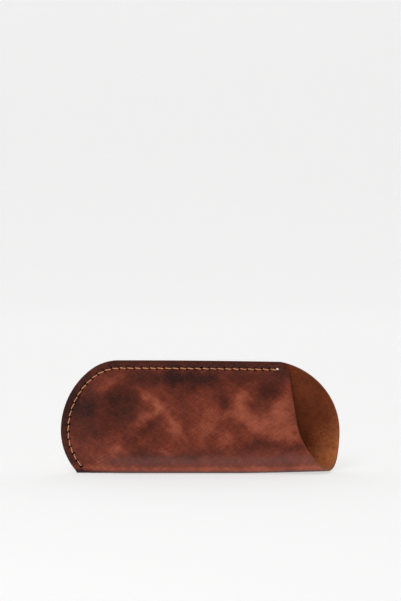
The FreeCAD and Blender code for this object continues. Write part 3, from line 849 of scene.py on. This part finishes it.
def rounded_route(corners, radius):
    """Points along straight runs whose corners are turned by tangent arcs."""
    arc_points = 6
    route = [corners[0]]
    for before, corner, after in zip(corners, corners[1:], corners[2:]):
        arrive = (corner - before) / np.linalg.norm(corner - before)
        leave = (after - corner) / np.linalg.norm(after - corner)
        turn = math.acos(float(np.clip(arrive @ leave, -1.0, 1.0)))
        setback = radius * math.tan(0.5 * turn)
        centre = corner + (leave - arrive) / np.linalg.norm(leave - arrive) \
            * radius / math.cos(0.5 * turn)
        start = corner - arrive * setback - centre
        side = np.cross(np.cross(start, arrive), start)
        side *= radius / np.linalg.norm(side)
        for angle in np.linspace(0.0, turn, arc_points):
            route.append(centre + start * math.cos(angle) + side * math.sin(angle))
    route.append(corners[-1])
    return np.array(route)


def even_route(route, step):
    """Evenly spaced points along a route, and how far along it each of them lies."""
    along = np.concatenate([[0.0], np.cumsum(np.linalg.norm(np.diff(route, axis=0), axis=1))])
    places = np.linspace(0.0, along[-1], int(along[-1] / step) + 1)
    return np.stack([np.interp(places, along, route[:, i]) for i in range(3)], axis=-1), places


def transported(directions, start):
    """A direction carried along a route without twist."""
    carried = [start - directions[0] * (start @ directions[0])]
    for direction in directions[1:]:
        current = carried[-1] - direction * (carried[-1] @ direction)
        carried.append(current / np.linalg.norm(current))
    carried[0] /= np.linalg.norm(carried[0])
    return np.array(carried)


def build_strand(name, first_side, settings):
    """One needle's half of the thread: three twisted plies, a closed start and a melted end."""
    corners = strand_corners(first_side)
    route, places = even_route(rounded_route(corners, STRAND_BEND), STRAND_STEP)
    ahead = np.gradient(route, axis=0)
    ahead /= np.linalg.norm(ahead, axis=1, keepdims=True)
    across = transported(ahead, np.array([1.0, 0.0, 0.0]))
    up = np.cross(ahead, across)
    sides = STRAND_SIDES
    angles = np.linspace(0.0, 2.0 * np.pi, sides, endpoint=False)
    twist = 2.0 * np.pi * places[:, None] / settings.twist_length
    plies = np.abs(np.cos(0.5 * PLIES * (angles[None, :] - twist)))
    radius = 0.5 * THREAD * (1.0 - settings.ply_depth * (1.0 - plies))
    rings = (route[:, None, :] + across[:, None, :] * (radius * np.cos(angles))[..., None]
             + up[:, None, :] * (radius * np.sin(angles))[..., None])
    points = rings.reshape(-1, 3).tolist()
    count = len(route)
    faces = []
    for i in range(count - 1):
        for k in range(sides):
            after = (k + 1) % sides
            faces.append((i * sides + k, i * sides + after, (i + 1) * sides + after,
                          (i + 1) * sides + k))
    points += [route[0].tolist(), route[-1].tolist()]
    first_cap, last_cap = count * sides, count * sides + 1
    for k in range(sides):
        after = (k + 1) % sides
        faces.append((first_cap, after, k))
        faces.append((last_cap, (count - 1) * sides + k, (count - 1) * sides + after))
    mesh = bpy.data.meshes.new(name)
    mesh.from_pydata(points, [], faces)
    end = route[-1].copy()
    end[1] = max(end[1], SEAM_OUTER_Y + BEAD_LEVEL * BEAD)
    add_bead(mesh, end)
    mesh.polygons.foreach_set("use_smooth", np.ones(len(mesh.polygons), bool))
    return mesh


def add_bead(mesh, centre):
    """Melts a strand's end into a small flattened ball."""
    work = bmesh.new()
    work.from_mesh(mesh)
    made = bmesh.ops.create_icosphere(work, subdivisions=3, radius=BEAD)
    for vertex in made["verts"]:
        vertex.co.y *= BEAD_FLATNESS
        vertex.co += Vector(centre)
    work.to_mesh(mesh)
    work.free()


# ==== Materials =============================================================================
def new_material(name):
    """An empty node material with its Principled shader."""
    material = bpy.data.materials.new(name)
    material.use_nodes = True
    tree = material.node_tree
    return material, tree, tree.nodes["Principled BSDF"]


def add_node(tree, kind, inputs=(), **settings):
    """Adds a node; inputs pairs a socket's name or number with a value or another socket."""
    node = tree.nodes.new(kind)
    for name, value in settings.items():
        setattr(node, name, value)
    for key, value in inputs:
        if isinstance(value, bpy.types.NodeSocket):
            tree.links.new(value, node.inputs[key])
        else:
            node.inputs[key].default_value = value
    return node


def attribute_of(tree, name):
    """A number that the mesh carries at its points."""
    return add_node(tree, "ShaderNodeAttribute", attribute_name=name).outputs["Fac"]


def pattern_map(tree, turn=0.0, stretch=1.0):
    """The flat pattern's coordinates in metres, with streaks laid along a turned direction."""
    source = add_node(tree, "ShaderNodeUVMap", uv_map="pattern").outputs["UV"]
    turned = add_node(tree, "ShaderNodeMapping",
                      [("Vector", source), ("Rotation", (0.0, 0.0, math.radians(turn))),
                       ("Scale", (stretch, 1.0, 1.0))], vector_type="TEXTURE")
    return turned.outputs["Vector"]


def place_map(tree):
    return add_node(tree, "ShaderNodeTexCoord").outputs["Object"]


def noise_of(tree, place, size, detail, roughness, distortion=0.0):
    """Noise whose features are about size metres across."""
    node = add_node(tree, "ShaderNodeTexNoise",
                    [("Vector", place), ("Scale", 1.0 / size), ("Detail", detail),
                     ("Roughness", roughness), ("Distortion", distortion)])
    return node.outputs["Fac"]


def cells_of(tree, place, size, feature="F1"):
    """Distance from the middles of cells about size metres across."""
    node = add_node(tree, "ShaderNodeTexVoronoi", [("Vector", place), ("Scale", 1.0 / size)],
                    feature=feature)
    return node.outputs["Distance"]


def maths(tree, operation, first, second=0.0, third=0.0):
    inputs = [(0, first), (1, second)]
    if operation == "MULTIPLY_ADD":
        inputs.append((2, third))
    return add_node(tree, "ShaderNodeMath", inputs, operation=operation).outputs[0]


def added(tree, base, *terms):
    """base plus each value times its weight, less half the weight where a value is centred."""
    total = base
    for value, weight, centred in terms:
        total = maths(tree, "MULTIPLY_ADD", value, weight, total)
        if centred:
            total = maths(tree, "SUBTRACT", total, 0.5 * weight)
    return total


def ramp_of(tree, value, stops):
    """A colour ramp through (position, colour) stops."""
    node = add_node(tree, "ShaderNodeValToRGB", [("Fac", value)])
    ramp = node.color_ramp
    ramp.elements[0].position, ramp.elements[0].color = stops[0][0], (*stops[0][1], 1.0)
    ramp.elements[1].position, ramp.elements[1].color = stops[-1][0], (*stops[-1][1], 1.0)
    for position, colour in stops[1:-1]:
        ramp.elements.new(position).color = (*colour, 1.0)
    return node.outputs["Color"]


def mixed(tree, share, first, second):
    """Mixes two colours; a plain colour is given as three numbers."""
    node = add_node(tree, "ShaderNodeMix", [("Factor", share)], data_type="RGBA")
    for socket, value in (("A", first), ("B", second)):
        found = [s for s in node.inputs if s.name == socket and s.type == "RGBA"][0]
        if isinstance(value, bpy.types.NodeSocket):
            tree.links.new(value, found)
        else:
            found.default_value = (*value, 1.0)
    return [s for s in node.outputs if s.type == "RGBA"][0]


def spread(tree, value, low, high, start=0.0, end=1.0):
    """Maps start to end onto low to high."""
    node = add_node(tree, "ShaderNodeMapRange",
                    [("Value", value), ("From Min", start), ("From Max", end),
                     ("To Min", low), ("To Max", high)])
    return node.outputs["Result"]


def axis_of(tree, place, axis):
    return add_node(tree, "ShaderNodeSeparateXYZ", [("Vector", place)]).outputs[axis]


def set_relief(tree, shader, height, depth):
    bump = add_node(tree, "ShaderNodeBump",
                    [("Height", height), ("Strength", 1.0), ("Distance", depth)])
    tree.links.new(bump.outputs["Normal"], shader.inputs["Normal"])


def scaled(colour, factor):
    return tuple(channel * factor for channel in colour)


def grain_material(settings):
    """Oiled pull-up leather: waxy, marbled where it was bent, with a fine grain, and painted
    highlight, shade and sheen.
    """
    material, tree, shader = new_material("oiled_grain_leather")
    place = pattern_map(tree)
    rising = pattern_map(tree, turn=36.0, stretch=4.0)
    falling = pattern_map(tree, turn=-38.0, stretch=5.0)
    clouds = noise_of(tree, place, 0.026, detail=4.0, roughness=0.55, distortion=0.4)
    mottle = noise_of(tree, place, 0.0075, detail=5.0, roughness=0.62, distortion=0.3)
    rubbed = noise_of(tree, rising, 0.0022, detail=6.0, roughness=0.70)
    crossed = noise_of(tree, falling, 0.0010, detail=5.0, roughness=0.65)
    fine = noise_of(tree, place, 0.0011, detail=3.0, roughness=0.6)
    # Tone from the marks at points, which hold the painted highlight and painted shade along the
    # fold.
    tone = added(tree, 0.49, (attribute_of(tree, "marbling_and_painted_light"), 0.42, False),
                 (clouds, 0.56, True), (mottle, 0.42, True), (rubbed, 0.46, True),
                 (crossed, 0.54, True), (fine, 0.28, True),
                 (attribute_of(tree, "margin"), -0.27, False),
                 # Painted shade down inside each stitch hole.
                 (attribute_of(tree, "hole_shade"), -0.90, False))
    dark, middle_tone, light = settings.dark_tone, settings.middle_tone, settings.light_tone
    colour = ramp_of(tree, tone, [(0.04, dark), (0.33, scaled(middle_tone, 0.52)),
                                  (0.56, middle_tone), (0.92, light)])
    patchy = spread(tree, mottle, low=0.20, high=0.75)
    # Painted sheen: a pale veil along the top of the fold, standing in for the floor's
    # reflection.
    sheen_share = maths(tree, "MULTIPLY", attribute_of(tree, "fold_sheen"), patchy)
    colour = mixed(tree, sheen_share, colour, settings.fold_sheen_tone)
    tree.links.new(colour, shader.inputs["Base Color"])
    tree.links.new(spread(tree, tone, low=0.38, high=0.29), shader.inputs["Roughness"])
    pebble = cells_of(tree, place, 0.00085, feature="SMOOTH_F1")
    pores = cells_of(tree, place, 0.0021)
    height = added(tree, 0.0, (pebble, 0.55, False), (fine, 0.30, False),
                   (crossed, 0.35, False), (rubbed, 0.30, False), (pores, 0.12, False))
    set_relief(tree, shader, height, settings.grain_relief)
    shader.inputs["Specular IOR Level"].default_value = 0.21
    return material


def flesh_material(settings):
    """Napped flesh side: short fibres, specks, and a painted highlight, a warmer tone towards
    the tongue's low tip where light skims it.
    """
    material, tree, shader = new_material("napped_flesh_leather")
    place = pattern_map(tree)
    brushed = pattern_map(tree, turn=62.0, stretch=3.0)
    clouds = noise_of(tree, place, 0.018, detail=4.0, roughness=0.6)
    nap = noise_of(tree, place, 0.0016, detail=6.0, roughness=0.72)
    fibre = noise_of(tree, brushed, 0.0006, detail=4.0, roughness=0.7)
    specks = cells_of(tree, place, 0.0042)
    tone = added(tree, 0.42, (clouds, 0.40, True), (nap, 0.60, True), (fibre, 0.35, True),
                 # Painted light towards the tongue's low tip.
                 (attribute_of(tree, "painted_tip_light"), 0.62, False))
    base = settings.flesh_tone
    colour = ramp_of(tree, tone, [(0.10, scaled(base, 0.42)), (0.50, base),
                                  (1.0, settings.flesh_lit_tone)])
    dark_specks = spread(tree, specks, low=1.0, high=-0.6)
    colour = mixed(tree, maths(tree, "MULTIPLY", clamp_of(tree, dark_specks), 0.45), colour,
                   scaled(base, 0.35))
    tree.links.new(colour, shader.inputs["Base Color"])
    tree.links.new(spread(tree, nap, low=0.80, high=0.98), shader.inputs["Roughness"])
    height = added(tree, 0.0, (nap, 0.7, False), (fibre, 0.5, False))
    set_relief(tree, shader, height, settings.flesh_relief)
    shader.inputs["Specular IOR Level"].default_value = 0.18
    shader.inputs["Sheen Weight"].default_value = 0.10
    shader.inputs["Sheen Roughness"].default_value = 0.55
    shader.inputs["Sheen Tint"].default_value = (1.0, 0.62, 0.36, 1.0)
    return material


def clamp_of(tree, value):
    return add_node(tree, "ShaderNodeClamp", [("Value", value)]).outputs["Result"]


def edge_material(settings):
    """Cut edge: layered fibres, burnished dark along the seam and left raw at the mouth."""
    material, tree, shader = new_material("cut_edge_leather")
    place = pattern_map(tree)
    layers = noise_of(tree, place_map(tree), 0.0009, detail=5.0, roughness=0.7)
    clouds = noise_of(tree, place, 0.006, detail=3.0, roughness=0.6)
    tone = added(tree, 0.5, (layers, 0.8, True), (clouds, 0.5, True))
    raw = ramp_of(tree, tone, [(0.1, scaled(settings.edge_tone, 0.5)),
                               (0.9, scaled(settings.edge_tone, 1.4))])
    dark = ramp_of(tree, tone, [(0.1, scaled(settings.dark_tone, 0.6)),
                                (0.9, scaled(settings.middle_tone, 0.8))])
    colour = mixed(tree, attribute_of(tree, "raw"), dark, raw)
    tree.links.new(colour, shader.inputs["Base Color"])
    tree.links.new(spread(tree, layers, low=0.55, high=0.80), shader.inputs["Roughness"])
    set_relief(tree, shader, layers, settings.grain_relief)
    shader.inputs["Specular IOR Level"].default_value = 0.15
    return material


def thread_material(settings):
    """Waxed thread: fine filaments, a soft shine, and painted shade where it dives into a hole.
    """
    material, tree, shader = new_material("waxed_thread")
    place = place_map(tree)
    filaments = noise_of(tree, place, 0.00018, detail=4.0, roughness=0.6)
    wear = noise_of(tree, place, 0.009, detail=3.0, roughness=0.6)
    tone = added(tree, 0.5, (filaments, 0.6, True), (wear, 0.5, True))
    base = settings.thread_tone
    # Painted shade: the thread darkens where it runs down inside a hole.
    dark_below = SEAM_OUTER_Y - 0.00030
    bright_above = SEAM_OUTER_Y + 0.00012
    colour = ramp_of(tree, tone, [(0.1, scaled(base, 0.6)), (0.5, base),
                                  (0.9, scaled(base, 1.15))])
    from_seam = maths(tree, "ABSOLUTE", axis_of(tree, place, "Y"))
    out_of_painted_shade = spread(tree, from_seam, low=0.0, high=1.0, start=dark_below, end=bright_above)
    colour = mixed(tree, out_of_painted_shade, scaled(base, 0.06), colour)
    tree.links.new(colour, shader.inputs["Base Color"])
    tree.links.new(spread(tree, filaments, low=0.38, high=0.62), shader.inputs["Roughness"])
    set_relief(tree, shader, filaments, depth=0.00004)
    shader.inputs["Specular IOR Level"].default_value = 0.40
    return material


def film_material():
    """Dried contact cement, amber and a little uneven."""
    material, tree, shader = new_material("dried_contact_cement")
    place = place_map(tree)
    runs = noise_of(tree, place, 0.0020, detail=4.0, roughness=0.6)
    colour = ramp_of(tree, runs, [(0.3, (0.10, 0.045, 0.015)), (0.7, (0.22, 0.11, 0.04))])
    tree.links.new(colour, shader.inputs["Base Color"])
    tree.links.new(spread(tree, runs, low=0.35, high=0.60), shader.inputs["Roughness"])
    set_relief(tree, shader, runs, depth=0.00003)
    return material


def floor_material(settings):
    """Plain pale paper that keeps its own faint glow, so that shadows on it stay light."""
    material, tree, shader = new_material("pale_paper")
    fibre = noise_of(tree, place_map(tree), 0.004, detail=2.0, roughness=0.5)
    tone = settings.floor_tone
    colour = ramp_of(tree, fibre, [(0.3, scaled(tone, 0.995)), (0.7, tone)])
    tree.links.new(colour, shader.inputs["Base Color"])
    tree.links.new(colour, shader.inputs["Emission Color"])
    shader.inputs["Emission Strength"].default_value = settings.floor_glow
    shader.inputs["Roughness"].default_value = 1.0
    shader.inputs["Specular IOR Level"].default_value = 0.0
    return material


# ==== Settings ==============================================================================
class SleeveHideSettings(bpy.types.PropertyGroup):
    """Sizes and colours of the leather."""
    edge_rounding: FloatProperty(
        name="Edge rounding", description="Radius of the rubbed arris of the cut edge",
        default=0.00045, min=0.0001, max=0.0009, unit="LENGTH", precision=5)
    edge_bulge: FloatProperty(
        name="Edge bulge", description="How far the middle of the cut edge stands out",
        default=0.00005, unit="LENGTH", precision=5)
    dimple_depth: FloatProperty(
        name="Dimple depth", description="How far the thread pulls the grain in at a hole",
        default=0.00042, unit="LENGTH", precision=5)
    groove_depth: FloatProperty(
        name="Groove depth", description="How far a stitch presses into the grain",
        default=0.00016, unit="LENGTH", precision=5)
    hole_neck: FloatProperty(
        name="Hole neck", description="Radius to which the leather closes round the strands",
        default=0.00022, min=0.00005, unit="LENGTH", precision=5)
    waviness: FloatProperty(
        name="Waviness", description="Unevenness of the open panels",
        default=0.00014, unit="LENGTH", precision=5)
    grain_relief: FloatProperty(
        name="Grain relief", description="Depth of the grain and of the cut fibres",
        default=0.00020, unit="LENGTH", precision=5)
    flesh_relief: FloatProperty(
        name="Nap relief", description="Depth of the flesh side's nap",
        default=0.00022, unit="LENGTH", precision=5)
    # The painted shade along the underside and in the stitch holes also runs down to this tone.
    dark_tone: FloatVectorProperty(
        name="Dark tone", description="Grain where the oils lie deepest",
        default=(0.042, 0.0095, 0.0060), subtype="COLOR", min=0.0, max=1.0)
    middle_tone: FloatVectorProperty(
        name="Middle tone", description="Grain over most of the sleeve",
        default=(0.262, 0.051, 0.0265), subtype="COLOR", min=0.0, max=1.0)
    # The painted highlight along the fold also runs up to this tone.
    light_tone: FloatVectorProperty(
        name="Light tone", description="Grain where it was bent or rubbed",
        default=(0.530, 0.138, 0.070), subtype="COLOR", min=0.0, max=1.0)
    # Painted sheen along the top of the fold, standing in for the floor's reflection.
    fold_sheen_tone: FloatVectorProperty(
        name="Bloom tone", description="Grain veiled by wax along the top of the fold",
        default=(0.215, 0.092, 0.080), subtype="COLOR", min=0.0, max=1.0)
    flesh_tone: FloatVectorProperty(
        name="Flesh tone", description="Napped inner side",
        default=(0.200, 0.042, 0.0130), subtype="COLOR", min=0.0, max=1.0)
    flesh_lit_tone: FloatVectorProperty(
        # Painted light on the flesh side towards the tongue's low tip.
        name="Flesh light tone", description="Napped inner side where it is rubbed",
        default=(0.600, 0.185, 0.0640), subtype="COLOR", min=0.0, max=1.0)
    edge_tone: FloatVectorProperty(
        name="Edge tone", description="Raw cut edge at the mouth",
        default=(0.330, 0.115, 0.050), subtype="COLOR", min=0.0, max=1.0)


class SleeveThreadSettings(bpy.types.PropertyGroup):
    """Twist and colour of the thread."""
    twist_length: FloatProperty(
        name="Twist length", description="Length over which the plies make one turn",
        default=0.0036, min=0.001, unit="LENGTH", precision=5)
    ply_depth: FloatProperty(
        name="Ply depth", description="Depth of the hollows between plies, over the radius",
        default=0.16, min=0.0, max=0.4, subtype="FACTOR")
    thread_tone: FloatVectorProperty(
        name="Thread tone", description="Waxed thread",
        default=(0.850, 0.340, 0.160), subtype="COLOR", min=0.0, max=1.0)


class SleeveStageSettings(bpy.types.PropertyGroup):
    """Floor, lights and camera."""
    floor_tone: FloatVectorProperty(
        name="Floor tone", description="Paper that the sleeve stands on",
        default=(0.60, 0.60, 0.60), subtype="COLOR", min=0.0, max=1.0)
    floor_glow: FloatProperty(
        name="Floor glow", description="Light that the paper gives off itself",
        default=0.97, min=0.0)
    key_power: FloatProperty(
        name="Key power", description="Soft box in front and above", default=5.2,
        subtype="POWER")
    top_power: FloatProperty(
        name="Top power", description="Soft box overhead", default=2.6, subtype="POWER")
    room_light: FloatProperty(
        name="Room light", description="Even light from the room", default=0.10, min=0.0)
    camera_distance: FloatProperty(
        name="Camera distance", description="From the sleeve's front to the camera",
        default=2.2, unit="LENGTH")
    camera_height_angle: FloatProperty(
        name="Camera elevation", description="Above the horizon",
        default=math.radians(5.0), subtype="ANGLE")


# ==== Operators =============================================================================
def show(mesh, *materials):
    """Links a mesh as an object of its own name, with its materials."""
    piece = bpy.data.objects.new(mesh.name, mesh)
    for material in materials:
        mesh.materials.append(material)
    bpy.context.scene.collection.objects.link(piece)
    return piece


class SLEEVE_OT_cut_hide(bpy.types.Operator):
    """Cuts, punches and folds the hide"""
    bl_idname = "sleeve.cut_hide"
    bl_label = "Leather hide"

    def execute(self, context):
        settings = context.scene.sleeve_hide
        mesh, flat, area = build_hide(settings)
        hide = show(mesh, grain_material(settings), flesh_material(settings),
                    edge_material(settings))
        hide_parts("leather_body", "mouth_tongue")
        along = Vector(TONGUE_HINGE["axis"]).normalized()
        outward = Vector((0.0, 1.0, 0.0)).cross(along)
        if outward.x < 0.0:
            outward.negate()
        outward.normalize()
        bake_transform(hide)
        return {"FINISHED"}


class SLEEVE_OT_stitch(bpy.types.Operator):
    """Saddle-stitches the seam with both needles"""
    bl_idname = "sleeve.stitch"
    bl_label = "Saddle stitches"

    def execute(self, context):
        settings = context.scene.sleeve_thread
        material = thread_material(settings)
        for node, first_side in (("thread_first_needle", -1.0), ("thread_second_needle", 1.0)):
            name = node.replace("thread", "waxed_thread")
            strand = show(build_strand(name, first_side, settings), material)
            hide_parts(node)
            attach(strand, "sleeve")
        return {"FINISHED"}


class SLEEVE_OT_glue(bpy.types.Operator):
    """Gives the glue film its finish"""
    bl_idname = "sleeve.glue"
    bl_label = "Contact cement"

    def execute(self, context):
        film = frame["nodes"]["seam_cement"]
        if not film.material_slots:
            raise RuntimeError("the glue film has no material slot")
        for slot in film.material_slots:
            slot.material = film_material()
        return {"FINISHED"}


class SLEEVE_OT_set_stage(bpy.types.Operator):
    """Sets the floor, the lights and the camera"""
    bl_idname = "sleeve.set_stage"
    bl_label = "Stage"

    def execute(self, context):
        settings = context.scene.sleeve_stage
        add_floor(settings)
        add_softbox("top_softbox", place=(0.0, 0.10, 1.30), target=(0.0, 0.0, 0.0),
                    size=(1.8, 1.2), power=settings.top_power)
        add_softbox("key_softbox", place=(-0.30, -1.05, 1.00), target=(0.0, 0.0, 0.03),
                    size=(0.7, 0.7), power=settings.key_power)
        add_room_light(settings)
        add_camera(settings)
        context.scene.view_settings.view_transform = "Standard"
        return {"FINISHED"}


def sweep_profile(start, end, height, radius):
    """Flat from start to near end, then a curve up into a wall: places along, and heights."""
    steps = 16
    turns = np.linspace(0.0, 0.5 * np.pi, steps)
    along = end - radius + radius * np.sin(turns)
    rise = radius * (1.0 - np.cos(turns))
    return np.concatenate([[start], along, [end]]), np.concatenate([[0.0], rise, [height]])


def add_floor(settings):
    """Pale paper that sweeps up behind and at both sides, made as one smooth sheet."""
    back_y, back_rise = sweep_profile(start=-1.0, end=1.6, height=2.4, radius=0.6)
    right_x, right_rise = sweep_profile(start=0.3, end=3.0, height=2.4, radius=0.8)
    x = np.concatenate([-right_x[::-1], right_x])
    side_rise = np.concatenate([right_rise[::-1], right_rise])
    points = [(x[k], back_y[r], back_rise[r] + side_rise[k])
              for r in range(len(back_y)) for k in range(len(x))]
    width = len(x)
    faces = [(r * width + k, r * width + k + 1, (r + 1) * width + k + 1, (r + 1) * width + k)
             for r in range(len(back_y) - 1) for k in range(width - 1)]
    mesh = bpy.data.meshes.new("pale_floor")
    mesh.from_pydata(points, [], faces)
    mesh.polygons.foreach_set("use_smooth", np.ones(len(mesh.polygons), bool))
    floor = show(mesh, floor_material(settings))


def add_softbox(name, place, target, size, power):
    light = bpy.data.lights.new(name, "AREA")
    light.shape = "RECTANGLE"
    light.size, light.size_y = size
    light.energy = power
    lamp = bpy.data.objects.new(name, light)
    lamp.location = place
    aim = Vector(target) - Vector(place)
    lamp.rotation_euler = aim.to_track_quat("-Z", "Y").to_euler()
    bpy.context.scene.collection.objects.link(lamp)


def add_room_light(settings):
    world = bpy.data.worlds.new("studio_room")
    world.use_nodes = True
    background = world.node_tree.nodes["Background"]
    background.inputs["Color"].default_value = (1.0, 0.99, 0.98, 1.0)
    background.inputs["Strength"].default_value = settings.room_light
    bpy.context.scene.world = world


def add_camera(settings):
    """A long lens a little above the sleeve, with the sleeve low in an upright frame."""
    shown_height = 0.3885
    aim = Vector((0.0, -MOUTH_HALF_DEPTH, 0.1138))
    angle = settings.camera_height_angle
    back = Vector((0.0, -math.cos(angle), math.sin(angle)))
    lens = bpy.data.cameras.new("long_lens")
    lens.sensor_width = 36.0
    lens.lens = lens.sensor_width * settings.camera_distance / shown_height
    lens.clip_end = 20.0            # past the walls of the stage
    camera = bpy.data.objects.new("camera", lens)
    camera.location = aim + back * settings.camera_distance
    camera.rotation_euler = (-back).to_track_quat("-Z", "Y").to_euler()
    bpy.context.scene.collection.objects.link(camera)
    bpy.context.scene.camera = camera


# ==== Panel and registration ================================================================
class SLEEVE_PT_panel(bpy.types.Panel):
    """Lists the sleeve's pieces and their settings"""
    bl_idname = "SLEEVE_PT_panel"
    bl_label = "Glasses sleeve"
    bl_space_type = "VIEW_3D"
    bl_region_type = "UI"
    bl_category = "Sleeve"

    def draw(self, context):
        scene = context.scene
        groups = [(scene.sleeve_hide, (SLEEVE_OT_cut_hide,)),
                  (scene.sleeve_thread, (SLEEVE_OT_stitch, SLEEVE_OT_glue)),
                  (scene.sleeve_stage, (SLEEVE_OT_set_stage,))]
        for settings, operators in groups:
            box = self.layout.box()
            for operator in operators:
                box.operator(operator.bl_idname, text=operator.bl_label)
            for name in settings.__annotations__:
                box.prop(settings, name)


SETTINGS = [("sleeve_hide", SleeveHideSettings), ("sleeve_thread", SleeveThreadSettings),
            ("sleeve_stage", SleeveStageSettings)]
OPERATORS = [SLEEVE_OT_cut_hide, SLEEVE_OT_stitch, SLEEVE_OT_glue, SLEEVE_OT_set_stage]


def register():
    for name, group in SETTINGS:
        bpy.utils.register_class(group)
        setattr(bpy.types.Scene, name, PointerProperty(type=group))
    for item in OPERATORS + [SLEEVE_PT_panel]:
        bpy.utils.register_class(item)


def unregister():
    for item in reversed(OPERATORS + [SLEEVE_PT_panel]):
        bpy.utils.unregister_class(item)
    for name, group in reversed(SETTINGS):
        delattr(bpy.types.Scene, name)
        bpy.utils.unregister_class(group)


def main():
    register()
    bpy.ops.sleeve.set_stage()
    bpy.ops.sleeve.cut_hide()
    bpy.ops.sleeve.stitch()
    bpy.ops.sleeve.glue()


if __name__ == "__main__":
    main()
